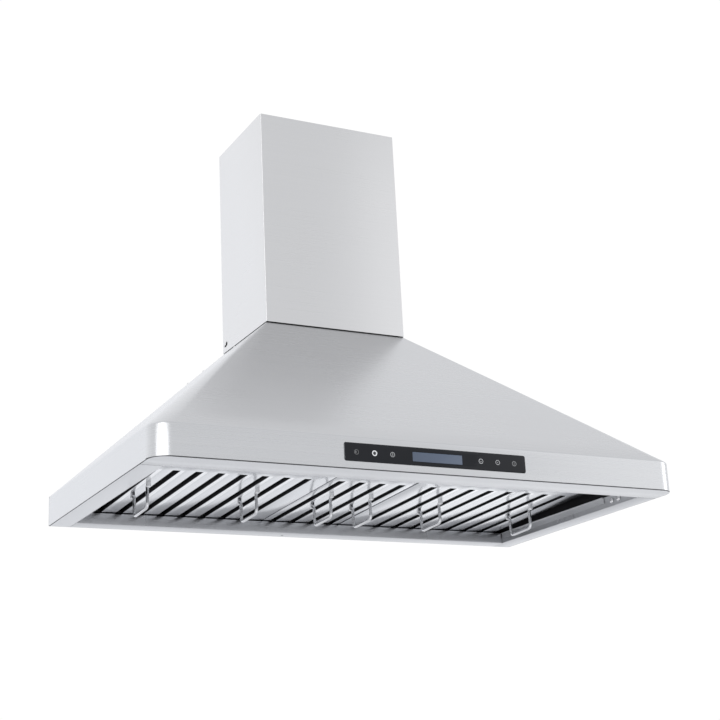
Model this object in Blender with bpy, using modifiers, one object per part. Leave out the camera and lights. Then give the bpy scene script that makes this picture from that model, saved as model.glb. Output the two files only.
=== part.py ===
"""Wall-mounted chimney range hood with baffle filters, a centrifugal blower and a telescoping duct cover.

Metres, +Z up.  X runs across the hood, the wall is the plane Y = 0, the cook stands at -Y.
The origin is on the back panel, midway between the two keyholes that the hood hangs from.
Heights in the source are counted from the underside; the empty "underside" carries them down to the origin.
"""
import bpy
import bmesh
from math import atan, cos, pi, radians, sin, tan
from mathutils import Vector

MM = 0.001

# ---- driving dimensions (mm) ----
HOOD_WIDTH = 900.0
HOOD_DEPTH = 512.0
BAND_HEIGHT = 49.0            # upright band round the bottom of the canopy
CANOPY_HEIGHT = 328.5         # underside to the seat of the duct cover
CORNER_RADIUS = 28.0          # the two front corners of the band
HANG_HEIGHT = 250.0           # underside to the keyholes
COVER_WIDTH = 267.0
COVER_DEPTH = 197.0
COVER_HEIGHT = 392.0
SKIN = 1.2                    # canopy and frame sheet
COVER_SHEET = 1.0
GAP = 0.3                     # between pieces that seat on each other

TOP_FLANGE = 9.0              # turned-in rim that the duct cover stands on
FLANGE_FRONT = 57.0           # front strip of the underside
FLANGE_SIDE = 36.0
FLANGE_BACK = 34.0
SHELF_HEIGHT = 24.0           # recessed strip that carries the lamps
SHELF_DEPTH = 93.0
LEDGE_DEPTH = 22.0
REAR_LEDGE_HEIGHT = 19.3
LINER_HEIGHT = 50.0

FILTER_DEPTH = 12.0
FILTER_SHEET = 0.8
FILTER_FRONT_END = 43.0       # plain strips before and behind the slots
FILTER_REAR_END = 22.0
FILTER_REAR_GAP = 10.0        # filter's rear edge to the wall plane
FILTER_FRONT_GAP = 8.0        # filter's front edge to the shelf's riser
MIDDLE_FILTER = 146.0         # the two outer filters share the rest of the opening
SLAT_PITCH = 36.7
SLOT_WIDTH = 12.2
LAST_MARGIN = 8.0             # least width of the plain edge after the last slot

BAIL_WIRE = 5.0
BAIL_SPAN = 63.5
BAIL_DROP = 34.0
BAIL_PIN = 8.0
BAIL_BEND = 8.0
PIN_CLEARANCE = 0.35

PANEL_WIDTH = 313.0
PANEL_HEIGHT = 27.5
PANEL_THICK = 4.0
PANEL_PROUD = 1.2
DISPLAY_WIDTH = 86.0
DISPLAY_HEIGHT = 14.5

LAMP_RADIUS = 32.5
LAMP_DROP = 5.0               # bezel below the shelf

DUCT_WALL = 1.5
COLLAR_FLANGE = 3.5
DUCT_HEIGHT = 60.0
DAMPER_HEIGHT = 36.0          # pin above the canopy's top
FLAP_CLEARANCE = 1.6

WHEEL_WIDTH = 92.0
BLADES = 24
BLOWER_WIDTH = 118.0
SHAFT_RADIUS = 4.0

GUIDE_REACH = 12.0
GUIDE_TOP = 19.0
GUIDE_HEIGHT = 10.0
GUIDE_START = 150.0

# ---- sizes that follow from them ----
HALF = HOOD_WIDTH / 2
FRONT = -HOOD_DEPTH
INNER_X = HALF - FLANGE_SIDE  # half width of the opening in the underside
PANEL_MID = 0.5224 * BAND_HEIGHT
LAMP_X = 0.582 * INNER_X
LAMP_FROM_FRONT = FLANGE_FRONT + 0.473 * SHELF_DEPTH

FILTER_LENGTH = HOOD_DEPTH - FLANGE_FRONT - SHELF_DEPTH - FILTER_FRONT_GAP - FILTER_REAR_GAP
SLAT_RISE = FILTER_DEPTH / 3  # 45 degree sides of a slat
BAIL_FROM_REAR = 0.551 * FILTER_LENGTH
TILT = -atan(0.0358)          # filters hang a little lower at the rear
LEDGE_HEIGHT = REAR_LEDGE_HEIGHT + tan(-TILT) * (FILTER_LENGTH - LEDGE_DEPTH / 2)

# the duct stands just inside the front of the rim; the blower fills the depth below it
DUCT_RADIUS = 0.3756 * COVER_DEPTH
DUCT_Y = -(COVER_DEPTH - TOP_FLANGE - COLLAR_FLANGE - DUCT_RADIUS - 0.5)
WHEEL_RADIUS = 0.3147 * COVER_DEPTH
SCROLL_START = 0.3553 * COVER_DEPTH
SCROLL_END = 0.4772 * COVER_DEPTH
BLOWER_Y = 8.5 - COVER_DEPTH / 2
BLOWER_Z = CANOPY_HEIGHT - 29.5 - SCROLL_END

# gap to the left, distance from the left edge to the first slot, and the slats that carry the two bails
OUTER_FILTER = (2 * INNER_X - MIDDLE_FILTER - 5.5 - 2.0 - 3.5 - 17.0) / 2
FILTERS = []
edge = -INNER_X
for filter_name, filter_width, gap, lead, first_bail, last_bail in (
        ("filter_left", OUTER_FILTER, 5.5, 24.5, 0, 3),
        ("filter_middle", MIDDLE_FILTER, 2.0, 11.8, 0, 2),
        ("filter_right", OUTER_FILTER, 3.5, 32.0, 1, 2)):
    edge += gap
    count = int((filter_width - lead - SLOT_WIDTH - LAST_MARGIN) / SLAT_PITCH) + 1
    FILTERS.append((filter_name, edge, filter_width, edge + lead, count, (first_bail, count - last_bail)))
    edge += filter_width

for old in list(bpy.data.objects):
    bpy.data.objects.remove(old, do_unlink=True)

hood = bpy.data.collections.new("range_hood")
cutters = bpy.data.collections.new("cutters")
for group in (hood, cutters):
    bpy.context.scene.collection.children.link(group)

underside = bpy.data.objects.new("underside", None)
underside.location = (0, 0, -HANG_HEIGHT * MM)
hood.objects.link(underside)


def metal(name, colour, roughness, metallic=1.0):
    material = bpy.data.materials.new(name)
    material.use_nodes = True
    shader = material.node_tree.nodes["Principled BSDF"]
    shader.inputs["Base Color"].default_value = (*colour, 1)
    shader.inputs["Roughness"].default_value = roughness
    shader.inputs["Metallic"].default_value = metallic
    return material


STEEL = metal("brushed_steel", (0.72, 0.73, 0.75), 0.32)
INNER_STEEL = metal("plain_steel", (0.42, 0.43, 0.45), 0.45)
GALVANISED = metal("galvanised_steel", (0.55, 0.57, 0.59), 0.5)
CHROME = metal("chrome_wire", (0.85, 0.86, 0.88), 0.08)
BLACK_GLASS = metal("black_glass", (0.012, 0.013, 0.016), 0.06, 0.0)
DISPLAY = metal("display", (0.11, 0.14, 0.2), 0.15, 0.0)
LENS = metal("lamp_lens", (0.9, 0.9, 0.87), 0.35, 0.0)
BLACK_PLASTIC = metal("black_plastic", (0.03, 0.03, 0.032), 0.5, 0.0)
GREY_PLASTIC = metal("grey_plastic", (0.35, 0.36, 0.37), 0.5, 0.0)
MOTOR_PAINT = metal("motor_paint", (0.06, 0.065, 0.07), 0.45, 0.0)


def place(obj, material, parent=None, group=hood):
    """Put an object in its collection, under the empty that carries it."""
    for home in list(obj.users_collection):
        home.objects.unlink(obj)
    group.objects.link(obj)
    obj.parent = parent or underside
    if material is None:
        obj.hide_render = True
        obj.display_type = "WIRE"
    else:
        obj.data.materials.clear()
        obj.data.materials.append(material)
    return obj


def block(name, x, y, z, material, parent=None):
    """A box between two limits on each axis; cutters have no material."""
    bpy.ops.mesh.primitive_cube_add(size=1)
    obj = bpy.context.object
    obj.name = name
    size = [(hi - lo) * MM for lo, hi in (x, y, z)]
    middle = [(hi + lo) / 2 * MM for lo, hi in (x, y, z)]
    for vertex in obj.data.vertices:
        vertex.co = [c * s + m for c, s, m in zip(vertex.co, size, middle)]
    return place(obj, material, parent, hood if material else cutters)


def rod(name, radius, start, end, material, parent=None, sides=24):
    """A round bar between two points."""
    a, b = Vector(start) * MM, Vector(end) * MM
    bpy.ops.mesh.primitive_cylinder_add(vertices=sides, radius=radius * MM, depth=(b - a).length)
    obj = bpy.context.object
    obj.name = name
    turn = (b - a).to_track_quat("Z", "Y").to_matrix().to_4x4()
    turn.translation = (a + b) / 2
    obj.data.transform(turn)
    return place(obj, material, parent, hood if material else cutters)


def cut(obj, tool, operation="DIFFERENCE"):
    boolean = obj.modifiers.new(operation.lower(), "BOOLEAN")
    boolean.operation = operation
    boolean.solver = "EXACT"
    boolean.object = tool
    return boolean


def sheet(name, rows, thickness, material, parent=None, offset=-1.0):
    """Folded sheet: rows of points joined by strips, thickened to one side."""
    mesh = bpy.data.meshes.new(name)
    bm = bmesh.new()
    grid = [[bm.verts.new([c * MM for c in p]) for p in row] for row in rows]
    for lower, upper in zip(grid, grid[1:]):
        for a, b, c, d in zip(lower, lower[1:], upper[1:], upper):
            bm.faces.new((a, b, c, d))
    bm.to_mesh(mesh)
    bm.free()
    obj = bpy.data.objects.new(name, mesh)
    place(obj, material, parent)
    solid = obj.modifiers.new("thickness", "SOLIDIFY")
    solid.thickness = thickness * MM
    solid.offset = offset
    solid.use_even_offset = True
    return obj


def flat(name, loops, thickness, material):
    """Flat outline in the curve's XY plane, with holes, thickened both ways."""
    curve = bpy.data.curves.new(name, "CURVE")
    curve.dimensions = "2D"
    curve.fill_mode = "BOTH"
    curve.extrude = thickness / 2 * MM
    for loop in loops:
        spline = curve.splines.new("POLY")
        spline.points.add(len(loop) - 1)
        for point, (x, y) in zip(spline.points, loop):
            point.co = (x * MM, y * MM, 0, 1)
        spline.use_cyclic_u = True
    obj = bpy.data.objects.new(name, curve)
    return place(obj, material, None, hood if material else cutters)


def as_mesh(obj):
    """The curve as a closed mesh, in the same place."""
    bpy.context.view_layer.update()
    name, parent, material = obj.name, obj.parent, obj.data.materials[0] if obj.data.materials else None
    matrix, group = obj.matrix_world.copy(), obj.users_collection[0]
    mesh = bpy.data.meshes.new_from_object(obj.evaluated_get(bpy.context.evaluated_depsgraph_get()))
    bpy.data.objects.remove(obj, do_unlink=True)
    bm = bmesh.new()
    bm.from_mesh(mesh)
    bmesh.ops.remove_doubles(bm, verts=bm.verts, dist=0.00001)
    bmesh.ops.recalc_face_normals(bm, faces=bm.faces)
    bm.to_mesh(mesh)
    bm.free()
    solid = bpy.data.objects.new(name, mesh)
    place(solid, material, parent, group)
    bpy.context.view_layer.update()
    solid.matrix_world = matrix
    return solid


def turned(name, profile, material, place_at, direction="Z", steps=24):
    """A profile of (radius, height) turned about an axis; it runs down the outer side."""
    mesh = bpy.data.meshes.new(name)
    bm = bmesh.new()
    points = [bm.verts.new((r * MM, 0, h * MM)) for r, h in profile]
    closed = profile[0][0] > 0.001 and profile[-1][0] > 0.001
    for a, b in zip(points, points[1:] + (points[:1] if closed else [])):
        bm.edges.new((a, b))
    bm.to_mesh(mesh)
    bm.free()
    obj = bpy.data.objects.new(name, mesh)
    place(obj, material, None, hood if material else cutters)
    obj.location = [c * MM for c in place_at]
    obj.rotation_euler = {"Z": (0, 0, 0), "X": (0, pi / 2, 0), "-X": (0, -pi / 2, 0)}[direction]
    screw = obj.modifiers.new("turn", "SCREW")
    screw.steps = steps
    screw.render_steps = steps
    screw.use_merge_vertices = True
    screw.merge_threshold = 0.00001
    return obj


def circle(radius, x=0.0, y=0.0, steps=32, start=0.0):
    angles = [start + 2 * pi * i / steps for i in range(steps)]
    return [(x + radius * cos(a), y + radius * sin(a)) for a in angles]


def footprint(half_width, depth, radius, back, steps=6):
    """Plan outline from the left rear, round the front, to the right rear."""
    left = [(-half_width, -back)]
    for i in range(steps + 1):
        a = pi + pi / 2 * i / steps
        left.append((-half_width + radius + radius * cos(a), -depth + radius + radius * sin(a)))
    return left + [(-x, y) for x, y in reversed(left)]


# ---- canopy: one folded skin, open at the rear, with a rim round the duct opening ----
SKIN_REAR = SKIN + GAP
rings = (
    (HALF, HOOD_DEPTH, CORNER_RADIUS, 0.0),
    (HALF, HOOD_DEPTH, CORNER_RADIUS, BAND_HEIGHT),
    (COVER_WIDTH / 2, COVER_DEPTH, 1.8, CANOPY_HEIGHT),
    (COVER_WIDTH / 2 - TOP_FLANGE, COVER_DEPTH - TOP_FLANGE, 1.0, CANOPY_HEIGHT),
)
canopy = sheet("canopy_skin", [[(x, y, z) for x, y in footprint(w, d, r, SKIN_REAR)] for w, d, r, z in rings],
               SKIN, STEEL)
PANEL_Z = (PANEL_MID - PANEL_HEIGHT / 2, PANEL_MID + PANEL_HEIGHT / 2)
cut(canopy, block("panel_opening", (-PANEL_WIDTH / 2 - GAP, PANEL_WIDTH / 2 + GAP), (FRONT - 5, FRONT + 5),
                  (PANEL_Z[0] - GAP, PANEL_Z[1] + GAP), None))

# ---- back panel: flat, follows the canopy's silhouette, with two keyholes and two lower fixing holes ----
KEYHOLE_X = 100.0
KEYHOLE_R = 6.0
KEYHOLE_SLOT = 3.5
KEYHOLE_RISE = 16.0
LOWER_HOLE_X = HALF * 2 / 3
LOWER_HOLE_Z = 60.0


def keyhole(x, z):
    a = [pi + 2 * pi * 0.5 * i / 12 for i in range(13)]
    bowl = [(x + KEYHOLE_R * cos(t), z + KEYHOLE_R * sin(t)) for t in a]
    slot = [(x + KEYHOLE_SLOT * cos(t), z + KEYHOLE_RISE + KEYHOLE_SLOT * sin(t)) for t in
            (pi * i / 8 for i in range(9))]
    return bowl + slot


half_plate = [(HALF, 0.0), (HALF, BAND_HEIGHT), (COVER_WIDTH / 2, CANOPY_HEIGHT)]
plate = half_plate + [(-x, z) for x, z in reversed(half_plate)]
holes = [keyhole(x, HANG_HEIGHT) for x in (-KEYHOLE_X, KEYHOLE_X)]
holes += [circle(4.0, x, LOWER_HOLE_Z, 16) for x in (-LOWER_HOLE_X, LOWER_HOLE_X)]
back = flat("back_panel", [plate] + holes, SKIN, INNER_STEEL)
back.rotation_euler = (pi / 2, 0, 0)
back.location = (0, -SKIN / 2 * MM, 0)
as_mesh(back)

# ---- underside frame: front channel with the lamp shelf, side flanges, liners and rear channel ----
SIDE_OUTER = HALF - SKIN - GAP
front_end = -HOOD_DEPTH + SKIN + GAP
riser_y = -HOOD_DEPTH + FLANGE_FRONT
shelf_end = riser_y + SHELF_DEPTH
profile = [(front_end, 0.0), (riser_y, 0.0), (riser_y, SHELF_HEIGHT), (shelf_end, SHELF_HEIGHT),
           (shelf_end, LEDGE_HEIGHT - SKIN), (shelf_end + LEDGE_DEPTH, LEDGE_HEIGHT - SKIN)]
channel = sheet("front_channel", [[(x, y, z) for y, z in profile] for x in (-INNER_X + GAP, INNER_X - GAP)],
                SKIN, STEEL)
for side in (-1, 1):
    tag = "right" if side > 0 else "left"
    cut(channel, rod("lamp_hole_" + tag, LAMP_RADIUS - 4, (side * LAMP_X, FRONT + LAMP_FROM_FRONT, 10),
                     (side * LAMP_X, FRONT + LAMP_FROM_FRONT, 40), None))
    # flat strip along the side, its front corner following the band
    r = CORNER_RADIUS - SKIN - GAP
    strip = [(INNER_X, -SKIN_REAR), (INNER_X, front_end)]
    strip += [(SIDE_OUTER - r + r * sin(a), front_end + r - r * cos(a)) for a in
              (pi / 2 * i / 6 for i in range(7))]
    strip += [(SIDE_OUTER, -SKIN_REAR)]
    flange = flat("side_flange_" + tag, [[(side * x, y) for x, y in strip]], SKIN, STEEL)
    flange.location = (0, 0, SKIN / 2 * MM)
    as_mesh(flange)
    # inner wall that stands on the strip, with a lip turned out at the top
    wall = [(INNER_X, SKIN + GAP), (INNER_X, LINER_HEIGHT), (INNER_X + 14, LINER_HEIGHT)]
    ends = (front_end + CORNER_RADIUS, -SKIN_REAR)
    liner = sheet("liner_" + tag, [[(side * x, y, z) for x, z in wall] for y in ends], SKIN, INNER_STEEL,
                  offset=-side)
    # angle beside the filters, and the two screws ahead of it
    angle = [(INNER_X - GAP - GUIDE_REACH, GUIDE_TOP), (INNER_X - GAP, GUIDE_TOP),
             (INNER_X - GAP, GUIDE_TOP - GUIDE_HEIGHT)]
    ends = (FRONT + GUIDE_START, -FLANGE_BACK - SKIN - 2 * GAP)
    sheet("side_guide_" + tag, [[(side * x, y, z) for x, z in angle] for y in ends], SKIN, INNER_STEEL,
          offset=-side)
    for number, from_front in ((1, 110.0), (2, 129.0)):
        y = FRONT + from_front
        turned(f"guide_screw_{tag}_{number}", [(0, 2.4), (2.6, 2.1), (3.9, 0.9), (3.9, 0), (2.0, 0), (2.0, -5),
                                               (0, -5)],
               CHROME, (side * (INNER_X - GAP), y, 10.0), "-X" if side > 0 else "X", steps=16)
        cut(liner, rod(f"guide_hole_{tag}_{number}", 2.0 + GAP, (side * (INNER_X - 3), y, 10),
                       (side * (INNER_X + 4), y, 10), None, sides=16))

rear_y = -FLANGE_BACK
profile = [(-SKIN_REAR, 0.0), (rear_y, 0.0), (rear_y, REAR_LEDGE_HEIGHT), (rear_y + 28, REAR_LEDGE_HEIGHT)]
rear_channel = sheet("rear_channel", [[(x, y, z) for y, z in profile] for x in (INNER_X - GAP, -INNER_X + GAP)],
                     SKIN, STEEL)
cut(rear_channel, rod("drain_hole", 2.5, (-33, -12, -3), (-33, -12, 4), None, sides=16))

# ---- baffle filters: tray with lower slats, a row of upper slats, and wire bails ----
bail_number = 0
for name, left, width, first_slot, slots, bails in FILTERS:
    hinge = bpy.data.objects.new(name + "_hinge", None)
    hood.objects.link(hinge)
    hinge.parent = underside
    hinge.location = (0, -FILTER_REAR_GAP * MM, (REAR_LEDGE_HEIGHT + GAP) * MM)
    hinge.rotation_euler = (TILT, 0, 0)
    right = left + width
    t = FILTER_SHEET
    tray = block(name, (left, right), (-FILTER_LENGTH, 0), (0, FILTER_DEPTH), STEEL, hinge)
    cut(tray, block(name + "_inside", (left + t, right - t), (-FILTER_LENGTH + t, -t), (t, FILTER_DEPTH + 5),
                    None, hinge))
    window = (first_slot, first_slot + (slots - 1) * SLAT_PITCH + SLOT_WIDTH)
    cut(tray, block(name + "_window", window, (-FILTER_LENGTH + FILTER_FRONT_END, -FILTER_REAR_END),
                    (-5, t + 0.4), None, hinge))
    lower = bmesh.new()
    slat_run = (-FILTER_LENGTH + FILTER_FRONT_END - 6, -FILTER_REAR_END + 6)
    for n in range(slots - 1):
        x0 = first_slot + n * SLAT_PITCH + SLOT_WIDTH
        x1 = x0 + SLAT_PITCH - SLOT_WIDTH
        s = SLAT_RISE
        outline = [(x0 + s, 0), (x1 - s, 0), (x1, s), (x1, s + t), (x1 - s - t / 2, t), (x0 + s + t / 2, t),
                   (x0, s + t), (x0, s)]
        rows = [[lower.verts.new((x * MM, y * MM, z * MM)) for x, z in outline] for y in slat_run]
        lower.faces.new(rows[0])
        lower.faces.new(list(reversed(rows[1])))
        for i in range(8):
            j = (i + 1) % 8
            lower.faces.new((rows[0][j], rows[0][i], rows[1][i], rows[1][j]))
    mesh = bpy.data.meshes.new(name + "_slats")
    lower.to_mesh(mesh)
    lower.free()
    slats = place(bpy.data.objects.new(name + "_slats", mesh), None, hinge, cutters)
    cut(tray, slats, "UNION")

    upper = block(name + "_upper_baffles", (window[0] - 3, window[1] + 3),
                  (-FILTER_LENGTH + t + GAP, -FILTER_LENGTH + 19), (FILTER_DEPTH - 2 * t, FILTER_DEPTH - t),
                  STEEL, hinge)
    cut(upper, block(name + "_upper_end", (window[0] - 3, window[1] + 3), (-19, -t - GAP),
                     (FILTER_DEPTH - 2 * t, FILTER_DEPTH - t), None, hinge), "UNION")
    caps = bmesh.new()
    for n in range(slots):
        middle = first_slot + n * SLAT_PITCH + SLOT_WIDTH / 2
        top = FILTER_DEPTH - t
        half, s = SLOT_WIDTH / 2 + 0.9, SLAT_RISE
        outline = [(-half - s, top - s - t), (-half, top - t), (half, top - t), (half + s, top - s - t),
                   (half + s, top - s), (half, top), (-half, top), (-half - s, top - s)]
        rows = [[caps.verts.new(((middle + x) * MM, y * MM, z * MM)) for x, z in outline] for y in
                (-FILTER_LENGTH + 5, -5)]
        caps.faces.new(rows[0])
        caps.faces.new(list(reversed(rows[1])))
        for i in range(8):
            j = (i + 1) % 8
            caps.faces.new((rows[0][j], rows[0][i], rows[1][i], rows[1][j]))
    mesh = bpy.data.meshes.new(name + "_caps")
    caps.to_mesh(mesh)
    caps.free()
    cut(upper, place(bpy.data.objects.new(name + "_caps", mesh), None, hinge, cutters), "UNION")

    for n in bails:
        bail_number += 1
        bail_x = first_slot + n * SLAT_PITCH + (SLAT_PITCH + SLOT_WIDTH) / 2
        pivot = bpy.data.objects.new(f"bail_{bail_number}_pivot", None)
        hood.objects.link(pivot)
        pivot.parent = hinge
        w = BAIL_WIRE / 2
        drop_to_pin = w + PIN_CLEARANCE + 1.6
        pivot.location = (bail_x * MM, -BAIL_FROM_REAR * MM, -drop_to_pin * MM)
        # two knuckles pressed out of the slat carry the pins
        for end in (-1, 1):
            y_in = end * (BAIL_SPAN / 2 + w + 1.0)
            y_out = end * (BAIL_SPAN / 2 + BAIL_PIN + 1.0)
            y = sorted((y_in - BAIL_FROM_REAR, y_out - BAIL_FROM_REAR))
            tag = f"{bail_number}_{'front' if end < 0 else 'rear'}"
            cut(tray, block("knuckle_" + tag, (bail_x - 5, bail_x + 5), y, (-2 * drop_to_pin, t * 0.6), None,
                            hinge), "UNION")
            bore = rod("pin_bore_" + tag, w + PIN_CLEARANCE, (bail_x, y[0] - 2, -drop_to_pin),
                       (bail_x, y[1] + 2, -drop_to_pin), None, hinge, sides=16)
            cut(tray, bore)
        # wire loop: pin, leg, bar, leg, pin
        b = BAIL_BEND
        half = BAIL_SPAN / 2
        side = [(-half - BAIL_PIN, 0.0), (-half - 1.6, 0.0), (-half - 0.4, -0.4), (-half, -1.6),
                (-half, -BAIL_DROP + b)]
        side += [(-half + b - b * cos(a), -BAIL_DROP + b - b * sin(a)) for a in
                 (pi / 2 * i / 4 for i in range(1, 5))]
        route = side + [(-y, z) for y, z in reversed(side)]
        curve = bpy.data.curves.new(f"bail_{bail_number}", "CURVE")
        curve.dimensions = "3D"
        curve.bevel_depth = w * MM
        curve.bevel_resolution = 2
        curve.use_fill_caps = True
        spline = curve.splines.new("POLY")
        spline.points.add(len(route) - 1)
        for point, (y, z) in zip(spline.points, route):
            point.co = (0, y * MM, z * MM, 1)
        place(bpy.data.objects.new(f"bail_{bail_number}", curve), CHROME, pivot)

# ---- duct covers: fixed outer one, inner one that pulls up, and the bracket at its top ----
RETURN = 20.0                 # edges turned in along the wall


def cover(name, inset, z_low, z_high, back_gap):
    w, d = COVER_WIDTH / 2 - inset, COVER_DEPTH - inset
    plan = [(-w + RETURN, -back_gap), (-w, -back_gap), (-w, -d)]
    plan += [(-x, y) for x, y in reversed(plan)]
    return sheet(name, [[(x, y, z) for x, y in plan] for z in (z_low, z_high)], COVER_SHEET, STEEL)


COVER_LOW = CANOPY_HEIGHT + GAP
COVER_TOP = COVER_LOW + COVER_HEIGHT
NEST = COVER_SHEET + 0.5
lower_cover = cover("lower_cover", 0.0, COVER_LOW, COVER_TOP, 0.4)
INNER_LOW = COVER_LOW + 34
upper_cover = cover("upper_cover", NEST, INNER_LOW, COVER_TOP - 2, 0.4 + NEST)
BRACKET_X = COVER_WIDTH / 2 - NEST - COVER_SHEET - GAP
bracket_back = 0.4 + NEST + COVER_SHEET + GAP
PAD_X = COVER_WIDTH / 2 - NEST - RETURN - 3          # the pad that lies on the wall, between the returns
plan = [(-BRACKET_X, -60), (-BRACKET_X, -bracket_back), (-PAD_X, -bracket_back), (-PAD_X, 0)]
plan += [(-x, y) for x, y in reversed(plan)]
sheet("ceiling_bracket", [[(x, y, z) for x, y in plan] for z in (COVER_TOP - 12, COVER_TOP - 42)], 1.5,
      GALVANISED)

for side in (-1, 1):
    tag = "right" if side > 0 else "left"
    x = side * (COVER_WIDTH / 2)
    z = COVER_LOW + 16
    # keyhole in the cover's side, near its rear bottom corner, and the angle behind it
    hole = rod("cover_keyhole_" + tag, 2.8, (x - 4, -18, z), (x + 4, -18, z), None, sides=16)
    slot = block("cover_keyslot_" + tag, (x - 4, x + 4), (-18, -9), (z - 1.6, z + 1.6), None)
    cut(lower_cover, hole)
    cut(lower_cover, slot)
    inner = side * (COVER_WIDTH / 2 - COVER_SHEET - GAP)
    foot = [(inner, COVER_LOW + 30), (inner, COVER_LOW), (inner - side * 12, COVER_LOW)]
    tab = sheet("cover_tab_" + tag, [[(x_, y, z_) for x_, z_ in foot] for y in (-40, -8)], 1.2, GALVANISED,
                offset=-side)
    cut(tab, rod("tab_hole_" + tag, 1.6, (x - side * 8, -18, z), (x + side * 2, -18, z), None, sides=16))

# ---- top plate, duct collar and back-draught dampers ----
PLATE_TOP = CANOPY_HEIGHT - SKIN - GAP
outlet_y = (BLOWER_Y - SCROLL_END, BLOWER_Y)
top_plate = block("top_plate", (-COVER_WIDTH / 2 + 2, COVER_WIDTH / 2 - 2), (-COVER_DEPTH + 2, -SKIN_REAR),
                  (PLATE_TOP - 1.5, PLATE_TOP), GALVANISED)
cut(top_plate, block("outlet_hole", (-BLOWER_WIDTH / 2, BLOWER_WIDTH / 2), outlet_y,
                     (PLATE_TOP - 6, PLATE_TOP + 4), None))
GLAND = (COVER_WIDTH / 2 - TOP_FLANGE - 26.5, -34.0)
cut(top_plate, rod("gland_hole", 8.0 + GAP, (*GLAND, PLATE_TOP - 6), (*GLAND, PLATE_TOP + 4), None, sides=20))
turned("cable_gland", [(4.0, 20), (8.5, 20), (11, 15), (11, 1.5 + GAP), (8.0, 1.5 + GAP), (8.0, -GAP - 1.5),
                       (12, -GAP - 1.5), (12, -8), (4.0, -8)], BLACK_PLASTIC, (*GLAND, PLATE_TOP), steps=20)
COLLAR_LOW = PLATE_TOP + GAP
inner_r = DUCT_RADIUS - DUCT_WALL
turned("duct_collar", [(inner_r, DUCT_HEIGHT), (DUCT_RADIUS, DUCT_HEIGHT), (DUCT_RADIUS, 1.0),
                       (DUCT_RADIUS + COLLAR_FLANGE, 1.0), (DUCT_RADIUS + COLLAR_FLANGE, 0), (inner_r, 0)],
       GALVANISED, (0, DUCT_Y, COLLAR_LOW), steps=40)
DAMPER_Z = CANOPY_HEIGHT + DAMPER_HEIGHT
pin_reach = inner_r - 0.4
rod("damper_pin", 2.0, (-pin_reach, DUCT_Y, DAMPER_Z), (pin_reach, DUCT_Y, DAMPER_Z), CHROME, sides=12)
for side, tag in ((-1, "front"), (1, "rear")):
    flap_r = inner_r - FLAP_CLEARANCE
    start = 3.2
    a0 = start / flap_r
    arc = [(flap_r * cos(a), side * flap_r * sin(a)) for a in
           (a0 + (pi - 2 * a0) * i / 20 for i in range(21))]
    flap = flat("damper_flap_" + tag, [arc], 1.0, GALVANISED)
    flap.location = (0, DUCT_Y * MM, DAMPER_Z * MM)
    as_mesh(flap)

# ---- blower: scroll housing, wheel on its shaft, motor on a bracket, inlet guard ----


def scroll(wall):
    """Spiral from the cut-off round the rear and below, then straight up to the outlet."""
    points = []
    steps = 30
    for i in range(steps + 1):
        turn = i / steps
        a = radians(82) - radians(262) * turn
        r = SCROLL_START + (SCROLL_END - SCROLL_START) * turn - wall
        points.append((BLOWER_Y + r * cos(a), BLOWER_Z + r * sin(a)))
    top = PLATE_TOP - 1.5 - GAP
    points.append((outlet_y[0] + wall, top + (5 if wall else 0)))
    points.append((outlet_y[1] - wall, top + (5 if wall else 0)))
    points.append((outlet_y[1] - wall, BLOWER_Z + SCROLL_START + 2))
    return points


def across(obj, x):
    """Stand a flat outline, drawn as (Y, Z), upright across X."""
    obj.rotation_euler = (pi / 2, 0, pi / 2)
    obj.location = (x * MM, 0, 0)
    return as_mesh(obj)


WALL = 1.2
housing = across(flat("blower_housing", [scroll(0)], BLOWER_WIDTH, GALVANISED), 0)
cut(housing, across(flat("blower_hollow", [scroll(WALL)], BLOWER_WIDTH - 2 * WALL, None), 0))
INLET_R = WHEEL_RADIUS - 8
cut(housing, rod("inlets", INLET_R, (-BLOWER_WIDTH, BLOWER_Y, BLOWER_Z), (BLOWER_WIDTH, BLOWER_Y, BLOWER_Z),
                 None, sides=32))

HUB_R = 12.0
blades = bmesh.new()
for n in range(BLADES):
    a = 2 * pi * n / BLADES
    lean = radians(35)
    at = Vector((0, (WHEEL_RADIUS - 6) * cos(a), (WHEEL_RADIUS - 6) * sin(a)))
    along = Vector((0, cos(a + lean), sin(a + lean)))
    across_blade = Vector((0, -sin(a + lean), cos(a + lean)))
    corners = [at + along * u * 5.5 + across_blade * v * 0.4 for u, v in ((-1, -1), (1, -1), (1, 1), (-1, 1))]
    low = [blades.verts.new((c + Vector((-WHEEL_WIDTH / 2 + 1, 0, 0))) * MM) for c in corners]
    high = [blades.verts.new((c + Vector((WHEEL_WIDTH / 2 - 1, 0, 0))) * MM) for c in corners]
    blades.faces.new(list(reversed(low)))
    blades.faces.new(high)
    for i in range(4):
        j = (i + 1) % 4
        blades.faces.new((low[i], low[j], high[j], high[i]))
mesh = bpy.data.meshes.new("blower_wheel")
blades.to_mesh(mesh)
blades.free()
wheel = place(bpy.data.objects.new("blower_wheel", mesh), GREY_PLASTIC)
wheel.location = (0, BLOWER_Y * MM, BLOWER_Z * MM)
axis_at = (0, BLOWER_Y, BLOWER_Z)
bore = SHAFT_RADIUS + 0.05
disc = turned("wheel_disc", [(bore, 1.5), (WHEEL_RADIUS - 2, 1.5), (WHEEL_RADIUS - 2, -1.5), (HUB_R, -1.5),
                             (HUB_R, -12), (bore, -12)], None, axis_at, "X", steps=32)
cut(wheel, disc, "UNION")
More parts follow.
